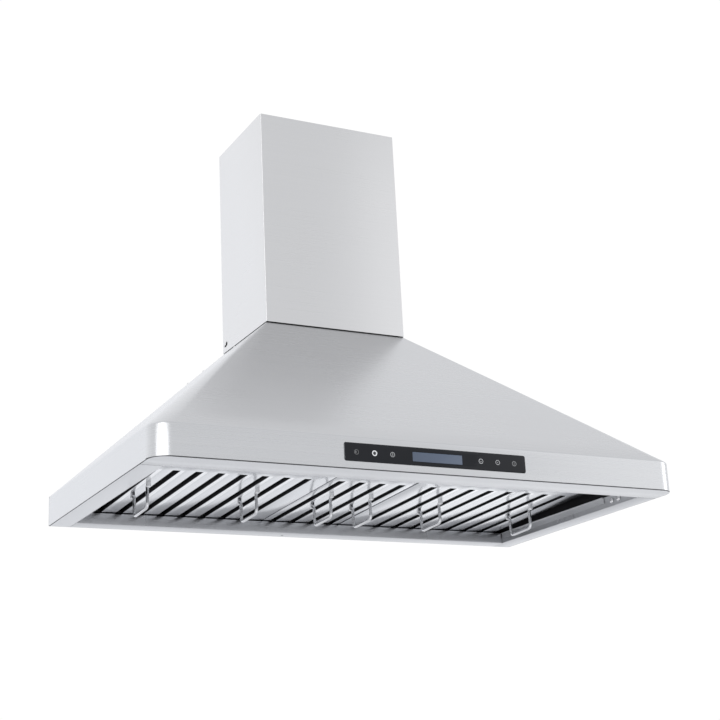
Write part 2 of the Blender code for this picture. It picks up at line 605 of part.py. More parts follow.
for side in (-1, 1):
    middle = side * (WHEEL_WIDTH / 2 - 2)
    ring = turned(f"wheel_rim_{'right' if side > 0 else 'left'}",
                  [(WHEEL_RADIUS - 9, middle + 1.5), (WHEEL_RADIUS, middle + 1.5), (WHEEL_RADIUS, middle - 1.5),
                   (WHEEL_RADIUS - 9, middle - 1.5)], None, axis_at, "X", steps=32)
    cut(wheel, ring, "UNION")
rod("motor_shaft", SHAFT_RADIUS, (-14, BLOWER_Y, BLOWER_Z), (18, BLOWER_Y, BLOWER_Z), CHROME, sides=24)
MOTOR_END = BLOWER_WIDTH / 2 + 1.5
turned("blower_motor", [(0, MOTOR_END), (14, MOTOR_END), (14, MOTOR_END - 4), (34, MOTOR_END - 8), (38, 40),
                        (38, 16), (34, 8), (SHAFT_RADIUS + 0.05, 8), (SHAFT_RADIUS + 0.05, 20), (0, 20)],
       MOTOR_PAINT, axis_at, "X", steps=28)
bracket_x = MOTOR_END + GAP
block("motor_bracket", (bracket_x, bracket_x + 2), (BLOWER_Y - 12, BLOWER_Y + 12), (BLOWER_Z - 66, BLOWER_Z + 62),
      GALVANISED)
sectors = []
for ring_in, ring_out in ((20.0, 36.0), (39.0, 54.0)):
    for n in range(6):
        a0, a1 = 2 * pi * n / 6 + 2.0 / ring_in, 2 * pi * (n + 1) / 6 - 2.0 / ring_in
        b0, b1 = 2 * pi * n / 6 + 2.0 / ring_out, 2 * pi * (n + 1) / 6 - 2.0 / ring_out
        outer = [(ring_out, b0 + (b1 - b0) * i / 4) for i in range(5)]
        inner = [(ring_in, a1 + (a0 - a1) * i / 4) for i in range(5)]
        sectors.append([(BLOWER_Y + r * cos(a), BLOWER_Z + r * sin(a)) for r, a in outer + inner])
across(flat("inlet_guard", [circle(60.0, BLOWER_Y, BLOWER_Z)] + sectors, 1.5, BLACK_PLASTIC),
       -BLOWER_WIDTH / 2 - GAP - 0.75)

# ---- controls in the band ----
panel = block("control_glass", (-PANEL_WIDTH / 2, PANEL_WIDTH / 2), (FRONT - PANEL_PROUD, FRONT - PANEL_PROUD
              + PANEL_THICK), PANEL_Z, BLACK_GLASS)
round_corners = panel.modifiers.new("corners", "BEVEL")
round_corners.width = 0.4 * MM
round_corners.segments = 1
dx, dz = DISPLAY_WIDTH / 2, DISPLAY_HEIGHT / 2
cut(panel, block("display_opening", (-dx - GAP, dx + GAP), (FRONT - 8, FRONT + 8),
                 (PANEL_MID - 0.6 - dz - GAP, PANEL_MID - 0.6 + dz + GAP), None))
block("display_window", (-dx, dx), (FRONT - PANEL_PROUD + 0.1, FRONT - PANEL_PROUD + PANEL_THICK),
      (PANEL_MID - 0.6 - dz, PANEL_MID - 0.6 + dz), DISPLAY)
box_y = FRONT - PANEL_PROUD + PANEL_THICK + GAP
block("control_box", (-150, 150), (box_y, box_y + 20), (PANEL_Z[0] - 6, PANEL_Z[1] + 3), BLACK_PLASTIC)

# ---- lamps in the shelf ----
for side in (-1, 1):
    tag = "right" if side > 0 else "left"
    at = (side * LAMP_X, FRONT + LAMP_FROM_FRONT, SHELF_HEIGHT)
    r = LAMP_RADIUS
    hole_r = r - 4 - 2 * GAP
    turned("lamp_body_" + tag, [(0, 26), (hole_r - 6, 26), (hole_r, 20), (hole_r, -GAP), (r, -GAP), (r, -3),
                                (r - 2, -LAMP_DROP), (r - 7, -LAMP_DROP), (r - 7, 2), (0, 2)], INNER_STEEL, at,
           steps=32)
    turned("lamp_lens_" + tag, [(0, 2 - GAP), (r - 7 - GAP, 2 - GAP), (r - 7 - GAP, -LAMP_DROP + 1.2),
                                (0, -LAMP_DROP + 0.6)], LENS, at, steps=32)

# ---- electrics on the inside of the back panel, where the canopy leaves room beside the blower ----
box_back = -SKIN - GAP
box_x = (-0.5822 * HALF, -0.5822 * HALF + 110)
box_z = (0.365 * CANOPY_HEIGHT, 0.365 * CANOPY_HEIGHT + 60)
power = block("power_box", box_x, (box_back - 45, box_back), box_z, GREY_PLASTIC)
cut(power, block("power_box_inside", (box_x[0] + 2, box_x[1] - 2), (box_back - 50, box_back - 2),
                 (box_z[0] + 2, box_z[1] - 2), None))
block("power_box_cover", box_x, (box_back - 45 - GAP - 2, box_back - 45 - GAP), box_z, GREY_PLASTIC)
driver_x, driver_z = HALF / 3, 0.384 * CANOPY_HEIGHT
block("lamp_driver", (driver_x, driver_x + 90), (box_back - 26, box_back), (driver_z, driver_z + 40), BLACK_PLASTIC)
turned("run_capacitor", [(0, 56), (17, 56), (18, 54), (18, 2), (17, 0), (0, 0)], GREY_PLASTIC,
       (0.444 * HALF, box_back - 18, 0.56 * CANOPY_HEIGHT), steps=24)

for obj in hood.objects:
    if obj.type == "MESH":
        obj.data.shade_smooth()
        obj.data.set_sharp_from_angle(angle=radians(35))
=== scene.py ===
"""Wall-mounted chimney range hood: brushed stainless canopy, baffle filters on wire bails, touch controls."""
import bpy
import bmesh
from math import atan2, cos, pi, radians, sin
from mathutils import Matrix, Vector


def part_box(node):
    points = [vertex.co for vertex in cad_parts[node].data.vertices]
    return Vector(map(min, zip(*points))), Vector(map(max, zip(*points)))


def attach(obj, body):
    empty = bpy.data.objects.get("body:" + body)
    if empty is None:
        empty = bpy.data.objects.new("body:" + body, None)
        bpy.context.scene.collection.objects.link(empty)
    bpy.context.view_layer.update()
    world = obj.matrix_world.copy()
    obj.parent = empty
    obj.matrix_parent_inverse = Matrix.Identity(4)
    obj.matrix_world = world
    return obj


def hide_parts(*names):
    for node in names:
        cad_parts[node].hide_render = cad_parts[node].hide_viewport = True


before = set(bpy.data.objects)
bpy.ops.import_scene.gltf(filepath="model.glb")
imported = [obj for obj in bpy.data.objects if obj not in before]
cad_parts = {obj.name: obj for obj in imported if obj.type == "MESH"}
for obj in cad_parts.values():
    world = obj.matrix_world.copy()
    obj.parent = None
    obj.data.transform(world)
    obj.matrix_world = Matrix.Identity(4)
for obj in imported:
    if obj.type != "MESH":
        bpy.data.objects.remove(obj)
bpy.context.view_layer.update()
MM = 0.001

# ---- studio ----
# A long lens below and to the left of the hood, a white surround that is a little darker to one side,
# and a pale floor far enough below to light the underside.
scene = bpy.context.scene
camera_data = bpy.data.cameras.new("camera")
camera_data.lens = 74.62
camera_data.sensor_width = 36.0
camera_data.clip_end = 50.0
camera = bpy.data.objects.new("camera", camera_data)
scene.collection.objects.link(camera)
YAW, PITCH, ROLL = -0.48498, 0.30017, 0.0488
camera.matrix_world = (Matrix.Translation((-1.11655, -2.39700, -0.74151)) @ Matrix.Rotation(YAW, 4, "Z")
                       @ Matrix.Rotation(pi / 2 + PITCH, 4, "X") @ Matrix.Rotation(-ROLL, 4, "Z"))
scene.camera = camera
scene.view_settings.view_transform = "Standard"

FLOOR_Z = -1.9
bpy.ops.mesh.primitive_plane_add(size=12, location=(0, -1.5, FLOOR_Z))
floor = bpy.context.object
floor.name = "studio_floor"
floor_paint = bpy.data.materials.new("studio_floor")
floor_paint.use_nodes = True
floor_paint.node_tree.nodes["Principled BSDF"].inputs["Base Color"].default_value = (0.76, 0.76, 0.77, 1)
floor_paint.node_tree.nodes["Principled BSDF"].inputs["Roughness"].default_value = 0.9
floor.data.materials.append(floor_paint)

world = bpy.data.worlds.new("studio")
scene.world = world
world.use_nodes = True
nodes, links = world.node_tree.nodes, world.node_tree.links
nodes.clear()
output = nodes.new("ShaderNodeOutputWorld")
direction = nodes.new("ShaderNodeTexCoord")
split = nodes.new("ShaderNodeSeparateXYZ")
links.new(direction.outputs["Generated"], split.inputs[0])
depth = nodes.new("ShaderNodeMapRange")             # from -1, at the cook's side, to 1, at the wall
depth.inputs["From Min"].default_value = -1.0
depth.inputs["From Max"].default_value = 1.0
links.new(split.outputs["Y"], depth.inputs["Value"])
surround_tone = nodes.new("ShaderNodeValToRGB")
for position, level in ((0.0, 0.80), (0.30, 0.74), (0.66, 0.90), (0.88, 1.05)):
    stop = surround_tone.color_ramp.elements.new(position)
    stop.color = (level * 0.8, level * 0.81, level * 0.83, 1)
surround_tone.color_ramp.elements.remove(surround_tone.color_ramp.elements[0])
last = surround_tone.color_ramp.elements[-1]
last.position = 1.0
last.color = (0.835, 0.85, 0.885, 1)
links.new(depth.outputs["Result"], surround_tone.inputs["Fac"])
surround = nodes.new("ShaderNodeBackground")
links.new(surround_tone.outputs["Color"], surround.inputs["Color"])
surround.inputs["Strength"].default_value = 1.25
white = nodes.new("ShaderNodeBackground")
white.inputs["Color"].default_value = (1, 1, 1, 1)
white.inputs["Strength"].default_value = 1.02
path = nodes.new("ShaderNodeLightPath")
mix = nodes.new("ShaderNodeMixShader")
links.new(path.outputs["Is Camera Ray"], mix.inputs["Fac"])
links.new(surround.outputs[0], mix.inputs[1])
links.new(white.outputs[0], mix.inputs[2])
links.new(mix.outputs[0], output.inputs["Surface"])

for name, place, aim, width, height, power in (
        ("key_softbox", (-2.2, -2.6, 1.9), (0, -0.2, 0.1), 1.8, 1.8, 17),
        ("fill_softbox", (2.6, -2.2, 0.9), (0, -0.2, 0.0), 2.2, 2.2, 4),
        ("left_softbox", (-2.05, -2.5, 0.45), (-0.45, -0.5, -0.2), 3.2, 0.8, 12),
        ("right_softbox", (2.8, -1.3, 0.4), (0.45, -0.5, -0.2), 1.0, 0.8, 4),
        ("low_softbox", (3.0, 2.9, -1.1), (0.4, -0.3, -0.25), 2.0, 1.2, 1.2),
        ("floor_bounce", (0.0, -1.2, -1.75), (0, -0.25, -0.2), 1.6, 1.6, 5)):
    lamp = bpy.data.lights.new(name, "AREA")
    lamp.shape = "RECTANGLE"
    lamp.size = width
    lamp.size_y = height
    lamp.energy = power
    softbox = bpy.data.objects.new(name, lamp)
    softbox.location = place
    softbox.rotation_euler = (Vector(aim) - Vector(place)).to_track_quat("-Z", "Y").to_euler()
    scene.collection.objects.link(softbox)

# ---- canopy ----
# Pyramid and upright band are one skin of 1.2 mm stainless, folded and welded along the ridges, with
# the front corners rolled round.  The face is brushed from side to side with a long grain.
SIDES = (("left", -1), ("right", 1))
CUT_OVER = 10 * MM            # how far a cutting box stands past what it cuts
SKIN = 1.2 * MM
BAND_HEIGHT = 49 * MM
CORNER_RADIUS = 28 * MM
ROLL_STEPS = ((0.10, 0.98), (0.28, 0.92), (0.6, 0.85))      # part of the slope's height, tightening there
BAND_FOLD = 2.2 * MM
RIM_WIDTH = 9 * MM
COVER_X, COVER_Y = 133.5 * MM, 197 * MM
canopy_low, canopy_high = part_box("canopy_skin")
REAR = canopy_high.y
BAND_TOP = canopy_low.z + BAND_HEIGHT


def only(piece):
    """Selects one object and nothing else."""
    if bpy.context.object and bpy.context.object.mode != "OBJECT":
        bpy.ops.object.mode_set(mode="OBJECT")
    bpy.ops.object.select_all(action="DESELECT")
    piece.select_set(True)
    bpy.context.view_layer.objects.active = piece


def settle(piece):
    """Puts the object's place into its mesh and leaves its origin at the hood's."""
    only(piece)
    bpy.ops.object.transform_apply(location=True, rotation=True, scale=True)


def box_between(name, low, high):
    """A cube drawn between two corners, ready to be shaped."""
    bpy.ops.object.select_all(action="DESELECT")
    middle = [(a + b) / 2 for a, b in zip(low, high)]
    bpy.ops.mesh.primitive_cube_add(size=1, location=middle, scale=[b - a for a, b in zip(low, high)])
    piece = bpy.context.object
    piece.name = name
    settle(piece)
    return piece


def pick_faces(test):
    """Selects the faces of the mesh in edit mode whose normal and middle pass the test."""
    bpy.context.tool_settings.mesh_select_mode = (False, False, True)
    bpy.ops.mesh.select_all(action="DESELECT")
    mesh = bmesh.from_edit_mesh(bpy.context.edit_object.data)
    mesh.normal_update()
    for face in mesh.faces:
        if test(face.normal, face.calc_center_median()):
            face.select_set(True)
    bmesh.update_edit_mesh(bpy.context.edit_object.data)


def pick_edges(test):
    """Selects the edges of the mesh in edit mode whose two ends pass the test."""
    bpy.context.tool_settings.mesh_select_mode = (False, True, False)
    bpy.ops.mesh.select_all(action="DESELECT")
    mesh = bmesh.from_edit_mesh(bpy.context.edit_object.data)
    for edge in mesh.edges:
        if test(edge.verts[0].co, edge.verts[1].co):
            edge.select_set(True)
    bmesh.update_edit_mesh(bpy.context.edit_object.data)


def near(a, b, slack=0.05 * MM):
    return abs(a - b) < slack


def along_y(a, b):
    """An edge that runs straight from front to rear."""
    return near(a.x, b.x) and near(a.z, b.z)


def round_edges(test, width, segments):
    pick_edges(test)
    bpy.ops.mesh.bevel(offset=width, segments=segments, affect="EDGES", clamp_overlap=True)


def edit(piece):
    only(piece)
    bpy.ops.object.mode_set(mode="EDIT")


def done():
    bpy.ops.object.mode_set(mode="OBJECT")


def slice_mesh(at, normal, test=None, **options):
    """Cuts the mesh in edit mode along a plane: the faces that pass the test, or all of them."""
    if test:
        pick_faces(test)
    else:
        bpy.ops.mesh.select_all(action="SELECT")
    bpy.ops.mesh.bisect(plane_co=at, plane_no=normal, **options)


def rounded_box(name, low, high, *roundings):
    """A box with some edges rounded; each rounding is a test for its edges, a width and a segment count."""
    piece = box_between(name, low, high)
    edit(piece)
    for rounding in roundings:
        round_edges(*rounding)
    done()
    return piece


def thicken(piece, thickness, offset=-1.0):
    """Gives a folded sheet its wall."""
    only(piece)
    solid = piece.modifiers.new("wall", "SOLIDIFY")
    solid.thickness = thickness
    solid.offset = offset
    solid.use_even_offset = True
    bpy.ops.object.modifier_apply(modifier=solid.name)


def carve(piece, tool):
    """Cuts one piece with another and uses the tool up."""
    only(piece)
    cut = piece.modifiers.new("cut", "BOOLEAN")
    cut.operation = "DIFFERENCE"
    cut.solver = "EXACT"
    cut.object = tool
    bpy.ops.object.modifier_apply(modifier=cut.name)
    bpy.data.objects.remove(tool, do_unlink=True)


def smooth(piece, angle=35):
    only(piece)
    bpy.ops.object.shade_smooth_by_angle(angle=radians(angle))


def brushed_steel(name, across, colour, roughness, grain=1.0, cloud=1.0):
    """Stainless sheet with a long grain; `across` is how fast the grain varies along X, Y and Z."""
    material = bpy.data.materials.new(name)
    material.use_nodes = True
    nodes, links = material.node_tree.nodes, material.node_tree.links
    shader = nodes["Principled BSDF"]
    shader.inputs["Metallic"].default_value = 1.0
    place = nodes.new("ShaderNodeTexCoord")
    fine = nodes.new("ShaderNodeMapping")
    fine.inputs["Scale"].default_value = across
    links.new(place.outputs["Object"], fine.inputs["Vector"])
    hairs = nodes.new("ShaderNodeTexNoise")
    hairs.inputs["Scale"].default_value = 1.0
    hairs.inputs["Detail"].default_value = 4.0
    hairs.inputs["Roughness"].default_value = 0.75
    links.new(fine.outputs[0], hairs.inputs["Vector"])
    wide = nodes.new("ShaderNodeMapping")
    wide.inputs["Scale"].default_value = [a * 0.22 for a in across]
    links.new(place.outputs["Object"], wide.inputs["Vector"])
    bands = nodes.new("ShaderNodeTexNoise")
    bands.inputs["Scale"].default_value = 1.0
    bands.inputs["Detail"].default_value = 2.0
    links.new(wide.outputs[0], bands.inputs["Vector"])
    drift = nodes.new("ShaderNodeTexNoise")
    drift.inputs["Scale"].default_value = 5.0
    drift.inputs["Detail"].default_value = 2.0
    links.new(place.outputs["Object"], drift.inputs["Vector"])
    grain_mix = nodes.new("ShaderNodeMix")
    grain_mix.data_type = "FLOAT"
    grain_mix.inputs["Factor"].default_value = 0.38
    links.new(hairs.outputs["Fac"], grain_mix.inputs[2])
    links.new(bands.outputs["Fac"], grain_mix.inputs[3])
    tone = nodes.new("ShaderNodeMapRange")
    tone.inputs["From Min"].default_value = 0.3
    tone.inputs["From Max"].default_value = 0.7
    tone.inputs["To Min"].default_value = 1 - 0.07 * grain
    tone.inputs["To Max"].default_value = 1 + 0.05 * grain
    links.new(grain_mix.outputs[0], tone.inputs["Value"])
    tint = nodes.new("ShaderNodeMix")
    tint.data_type = "RGBA"
    tint.blend_type = "MULTIPLY"
    tint.inputs["Factor"].default_value = 1.0
    tint.inputs[6].default_value = (*colour, 1)
    links.new(tone.outputs["Result"], tint.inputs[7])
    links.new(tint.outputs[2], shader.inputs["Base Color"])
    gloss = nodes.new("ShaderNodeMapRange")
    gloss.inputs["From Min"].default_value = 0.3
    gloss.inputs["From Max"].default_value = 0.7
    gloss.inputs["To Min"].default_value = roughness - 0.05 * grain
    gloss.inputs["To Max"].default_value = roughness + 0.06 * grain
    links.new(grain_mix.outputs[0], gloss.inputs["Value"])
    handling = nodes.new("ShaderNodeMath")
    handling.operation = "MULTIPLY_ADD"
    handling.inputs[1].default_value = 0.08 * cloud
    links.new(drift.outputs["Fac"], handling.inputs[0])
    links.new(gloss.outputs["Result"], handling.inputs[2])
    links.new(handling.outputs[0], shader.inputs["Roughness"])
    bump = nodes.new("ShaderNodeBump")
    bump.inputs["Strength"].default_value = 0.06 * grain
    bump.inputs["Distance"].default_value = 0.0004
    links.new(grain_mix.outputs[0], bump.inputs["Height"])
    links.new(bump.outputs["Normal"], shader.inputs["Normal"])
    return material


def finish_piece(piece, material, body, slot, *replaced, angle=35):
    """Shades, paints and files a finished piece with the body that carries it."""
    smooth(piece, angle)
    piece.data.materials.clear()
    piece.data.materials.append(material)
    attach(piece, body)
    if replaced:
        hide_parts(*replaced)


face_steel = brushed_steel("steel_slopes", (3, 3, 1700), (0.642, 0.643, 0.65), 0.24, 0.28)
band_steel = brushed_steel("steel_band", (2.2, 2.2, 1500), (0.69, 0.695, 0.705), 0.24, 0.42)
painted_shade_steel = brushed_steel("steel_painted_shade", (300, 300, 300), (0.03, 0.03, 0.032), 0.6, 0.6)
painted_shade_edge_steel = brushed_steel("steel_edges_painted_shade", (300, 300, 300), (0.20, 0.20, 0.21), 0.45, 0.6)
canopy = box_between("canopy", (-canopy_high.x, canopy_low.y, canopy_low.z), (canopy_high.x, REAR, BAND_TOP))
edit(canopy)
pick_faces(lambda n, c: n.z > 0.9)
bpy.ops.mesh.extrude_region_move(TRANSFORM_OT_translate={"value": (0, 0, canopy_high.z - BAND_TOP)})
top_scale = (COVER_X / canopy_high.x, (COVER_Y + REAR) / (-canopy_low.y + REAR), 1)
bpy.ops.transform.resize(value=top_scale, center_override=(0, REAR, canopy_high.z))
bpy.ops.mesh.delete(type="FACE")
pick_faces(lambda n, c: n.y > 0.9 or n.z < -0.9)
bpy.ops.mesh.delete(type="FACE")
# roll the two front corners: one arc round the band, closing to a sharp ridge at the duct cover
pick_edges(lambda a, b: abs(a.x - b.x) < 0.33 and abs(a.z - b.z) > 0.04 and a.y < -0.15 and b.y < -0.15)
bpy.ops.mesh.bevel(offset=CORNER_RADIUS, segments=14, affect="EDGES", clamp_overlap=False)
for side in (-1, 1):
    corner = Vector((side * COVER_X, -COVER_Y, canopy_high.z))
    pick_edges(lambda a, b: near(a.z, corner.z) and near(b.z, corner.z) and (a - corner).length < 0.06
               and (b - corner).length < 0.06)
    bpy.ops.transform.resize(value=(0.05, 0.05, 1), center_override=corner)
# the roll narrows evenly up the slope and runs out into a crease
for step, tight in ROLL_STEPS:
    level = BAND_TOP + (canopy_high.z - BAND_TOP) * step
    slice_mesh((0, 0, level), (0, 0, 1))
    for side in (-1, 1):
        corner = Vector((side * (canopy_high.x + (COVER_X - canopy_high.x) * step),
                         canopy_low.y + (-COVER_Y - canopy_low.y) * step, level))
        pick_edges(lambda a, b: near(a.z, level) and near(b.z, level) and (a - corner).length < 0.05
                   and (b - corner).length < 0.05)
        bpy.ops.transform.resize(value=(tight, tight, 1), center_override=corner)
round_edges(lambda a, b: near(a.z, BAND_TOP) and near(b.z, BAND_TOP), BAND_FOLD, 4)
# turn the rim in under the duct cover
pick_edges(lambda a, b: near(a.z, canopy_high.z) and near(b.z, canopy_high.z))
bpy.ops.mesh.extrude_edges_move()
rim_scale = ((COVER_X - RIM_WIDTH) / COVER_X, (COVER_Y - RIM_WIDTH + REAR) / (COVER_Y + REAR), 1)
bpy.ops.transform.resize(value=rim_scale, center_override=(0, REAR, canopy_high.z))
done()
thicken(canopy, SKIN)
panel_low, panel_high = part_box("control_glass")
GLASS_CORNER, PANEL_GAP = 3 * MM, 0.3 * MM
opening = rounded_box("opening", (panel_low.x - PANEL_GAP, panel_low.y - CUT_OVER, panel_low.z - PANEL_GAP),
                      (panel_high.x + PANEL_GAP, panel_high.y + CUT_OVER, panel_high.z + PANEL_GAP),
                      (along_y, GLASS_CORNER + PANEL_GAP, 6))
carve(canopy, opening)
# the band's hem stops a little above the underside and shows as a dark line, finer along the sides; the strip's and
# flanges' edges seen in it are painted dark grey as shade
HEM_FRONT, HEM_SIDE = 1.4 * MM, 0.25 * MM
for y_low, y_high, gap in ((canopy_low.y - CUT_OVER, canopy_low.y + CORNER_RADIUS, HEM_FRONT),
                           (canopy_low.y + CORNER_RADIUS, REAR + CUT_OVER, HEM_SIDE)):
    hem = box_between("hem", (-canopy_high.x - CUT_OVER, y_low, canopy_low.z - CUT_OVER),
                      (canopy_high.x + CUT_OVER, y_high, canopy_low.z + gap))
    carve(canopy, hem)


def second_material(piece, material, test, number=1):
    """Gives the faces that pass the test a further material: a finish of their own, or painted light or shade."""
    piece.data.materials.append(material)
    for face in piece.data.polygons:
        if test(face.normal, face.center):
            face.material_index = number


finish_piece(canopy, face_steel, "hood", "brushed_steel", "canopy_skin", angle=30)
second_material(canopy, band_steel, lambda n, c: c.z < BAND_TOP + 1 * MM)
# the rim's top under the duct cover and the skin's inside faces are painted black as shade
second_material(canopy, painted_shade_steel, lambda n, c: c.z > canopy_high.z - 2 * MM and abs(n.z) > 0.9
              or n.z < -0.3 or n.y > 0.5 or n.x * c.x < -0.2 * abs(c.x), 2)

# Two rivets hold the side of the skin to the back panel's turned edge, low on each rear corner.
RIVET_RADIUS, RIVET_FLATTENING = 2.2 * MM, 0.45
RIVET_Y, RIVET_HEIGHTS = -13 * MM, (40 * MM, 14 * MM)
side_slope = (canopy_high.x - COVER_X) / (canopy_high.z - BAND_TOP)
for tag, side in SIDES:
    for number, height in enumerate(RIVET_HEIGHTS, 1):
        across_skin = COVER_X + (canopy_high.z - height) * side_slope
        bpy.ops.object.select_all(action="DESELECT")
        bpy.ops.mesh.primitive_uv_sphere_add(segments=20, ring_count=10, radius=RIVET_RADIUS)
        rivet = bpy.context.object
        rivet.name = f"skin_rivet_{tag}_{number}"
        edit(rivet)
        slice_mesh((0, 0, 0), (0, 0, 1), clear_inner=True, use_fill=True)
        bpy.ops.mesh.select_all(action="SELECT")
        bpy.ops.transform.resize(value=(1, 1, RIVET_FLATTENING))
        done()
        rivet.rotation_euler = (0, side * (pi / 2 - atan2(side_slope, 1)), 0)
        rivet.location = (side * across_skin, RIVET_Y, height)
        settle(rivet)
        finish_piece(rivet, face_steel, "hood", "brushed_steel", angle=40)

# ---- front channel ----
# A flat strip lies inside the band's hem.  Behind it a 1.2 mm sheet rises to the shelf the lamps are let
# into, and again to the ledge that carries the filters.
UNDERSIDE = canopy_low.z
LAMP_HOLE = 28.5 * MM
SHELF_HEIGHT = 24 * MM
channel_low, channel_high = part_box("front_channel")
RISER_Y = channel_low.y + 55.5 * MM
SHELF_END = RISER_Y + 93 * MM
MERGE = 0.01 * MM              # points nearer than this are one


def outline_piece(name, outline, closed=False):
    """A line drawn point by point, ready to be pulled into a sheet or spun."""
    bpy.ops.object.select_all(action="DESELECT")
    mesh = bpy.data.meshes.new(name)
    count = len(outline)
    mesh.from_pydata(outline, [(i, (i + 1) % count) for i in range(count if closed else count - 1)], [])
    piece = bpy.data.objects.new(name, mesh)
    scene.collection.objects.link(piece)
    return piece


def face_outward(merge=False):
    """Turns all faces of the mesh in edit mode outward, with doubled points merged first if asked."""
    bpy.ops.mesh.select_all(action="SELECT")
    if merge:
        bpy.ops.mesh.remove_doubles(threshold=MERGE)
    bpy.ops.mesh.normals_make_consistent(inside=False)


def folded_sheet(name, outline, run, thickness, bend, offset=-1.0):
    """A strip that follows an outline, pulled out along `run`, with rounded bends and a wall."""
    piece = outline_piece(name, outline)
    edit(piece)
    bpy.context.tool_settings.mesh_select_mode = (False, True, False)
    bpy.ops.mesh.select_all(action="SELECT")
    bpy.ops.mesh.extrude_edges_move(TRANSFORM_OT_translate={"value": run})
    face_outward()
    way = Vector(run)
    first = (Vector(outline[1]) - Vector(outline[0])).cross(way).normalized()
    middle = (Vector(outline[0]) + Vector(outline[1]) + way) / 2
    mesh = bmesh.from_edit_mesh(piece.data)
    nearest = min(mesh.faces, key=lambda face: (face.calc_center_median() - middle).length)
    if nearest.normal.dot(first) < 0:
        bpy.ops.mesh.flip_normals()
    bends = [Vector(point) for point in outline[1:-1]]
    if bend:
        pick_edges(lambda a, b: near((a - b).length, way.length, 1e-5) and (a - b).cross(way).length < 1e-6
                   and any(min((a - p).length, (b - p).length) < 1e-5 for p in bends))
        bpy.ops.mesh.bevel(offset=bend, segments=4, affect="EDGES", clamp_overlap=True)
    done()
    thicken(piece, thickness, offset)
    return piece


def soften(piece, width, angle=40):
    """Takes the sharpness off every edge."""
    only(piece)
    bevel = piece.modifiers.new("soft_edges", "BEVEL")
    bevel.width = width
    bevel.segments = 2
    bevel.limit_method = "ANGLE"
    bevel.angle_limit = radians(angle)
    bpy.ops.object.modifier_apply(modifier=bevel.name)


def drill(piece, centre, axis, radius, depth=0.02, sides=32):
    """Cuts a round hole through a piece along an axis."""
    bpy.ops.object.select_all(action="DESELECT")
    turn = Vector(axis).to_track_quat("Z", "Y").to_euler()
    bpy.ops.mesh.primitive_cylinder_add(vertices=sides, radius=radius, depth=depth, location=centre, rotation=turn)
    tool = bpy.context.object
    settle(tool)
    carve(piece, tool)


under_x = brushed_steel("steel_underside_front", (4, 1300, 1300), (0.62, 0.627, 0.64), 0.26, 0.4)
mottled = brushed_steel("steel_inner_walls", (45, 45, 2), (0.53, 0.535, 0.55), 0.24, 0.9, 1.6)
outline = [(RISER_Y, channel_low.z + 1.4 * MM),
           (RISER_Y, channel_low.z + SHELF_HEIGHT), (SHELF_END, channel_low.z + SHELF_HEIGHT),
           (SHELF_END, channel_high.z - SKIN), (channel_high.y, channel_high.z - SKIN)]
channel = folded_sheet("front_channel_folded", [(channel_low.x, y, z) for y, z in outline],
                       (channel_high.x - channel_low.x, 0, 0), SKIN, 0.9 * MM)
lamp_places = []
for side in ("left", "right"):
    lamp_low, lamp_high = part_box(f"lamp_body_{side}")
    lamp_place = ((lamp_low.x + lamp_high.x) / 2, (lamp_low.y + lamp_high.y) / 2, UNDERSIDE + SHELF_HEIGHT)
    lamp_places.append((side, lamp_place))
    drill(channel, lamp_place, (0, 0, 1), LAMP_HOLE, sides=48)
finish_piece(channel, under_x, "hood", "brushed_steel", "front_channel")


def slab(name, plan, low, high):
    """A flat plate cut to a plan, left in edit mode."""
    piece = outline_piece(name, [(x, y, low) for x, y in plan], closed=True)
    edit(piece)
    bpy.ops.mesh.select_all(action="SELECT")
    bpy.ops.mesh.edge_face_add()
    bpy.ops.mesh.extrude_region_move(TRANSFORM_OT_translate={"value": (0, 0, high - low)})
    face_outward()
    return piece


def flat_strip(name, plan, low, high, dressed):
    """A flat strip cut to a plan, with those of its lower edges that pass the test dressed round."""
    piece = slab(name, plan, low, high)
    round_edges(lambda a, b: near(a.z, low) and near(b.z, low) and dressed(a, b), 0.3 * MM, 2)
    done()
    return piece


# The front strip runs the full width, round both corners; the side flanges butt against its rear edge.
FLANGE_OUTER = canopy_high.x - SKIN - 0.3 * MM
bend_radius = CORNER_RADIUS - SKIN - 0.3 * MM
corner = [(FLANGE_OUTER - bend_radius * (1 - sin(a)), channel_low.y + bend_radius * (1 - cos(a)))
          for a in (pi / 2 * i / 14 for i in range(15))]
plan = [(-x, y) for x, y in reversed(corner)] + corner
plan = [(-FLANGE_OUTER, RISER_Y)] + plan + [(FLANGE_OUTER, RISER_Y)]
strip = flat_strip("front_strip", plan, channel_low.z, channel_low.z + SKIN,
                   lambda a, b: near(a.y, b.y) and near(a.y, RISER_Y))
finish_piece(strip, under_x, "hood", "brushed_steel", angle=25)
# the strip's outer edges are painted dark grey as the shade in the hem's gap
second_material(strip, painted_shade_edge_steel, lambda n, c: abs(n.z) < 0.3 and c.y < RISER_Y - 1 * MM)

# ---- side flanges ----
# Flat strips that close the underside at the two sides.  They butt against the front strip, and their
# outer edges stop just inside the band's hem.


def inner_outer(low, high, side):
    """The X of a box's faces toward the hood's middle and away from it."""
    return (high.x, low.x) if side < 0 else (low.x, high.x)


under_y = brushed_steel("steel_underside_side", (1300, 4, 1300), (0.62, 0.628, 0.643), 0.26, 0.4)
for tag, side in SIDES:
    low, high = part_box(f"side_flange_{tag}")
    inner, outer = inner_outer(low, high, side)
    front = RISER_Y + 0.8 * MM
    plan = [(inner, high.y), (inner, front), (outer, front), (outer, high.y)]
    flange = flat_strip(f"side_flange_{tag}_strip", plan, low.z, low.z + SKIN,
                        lambda a, b: near(a.x, inner) and near(b.x, inner))
    finish_piece(flange, under_y, "hood", "brushed_steel", f"side_flange_{tag}")
    # the flange's edges away from the middle are painted dark grey as the shade in the hem's gap
    second_material(flange, painted_shade_edge_steel, lambda n, c: abs(n.z) < 0.3 and abs(c.x) > abs(inner) + 1 * MM)
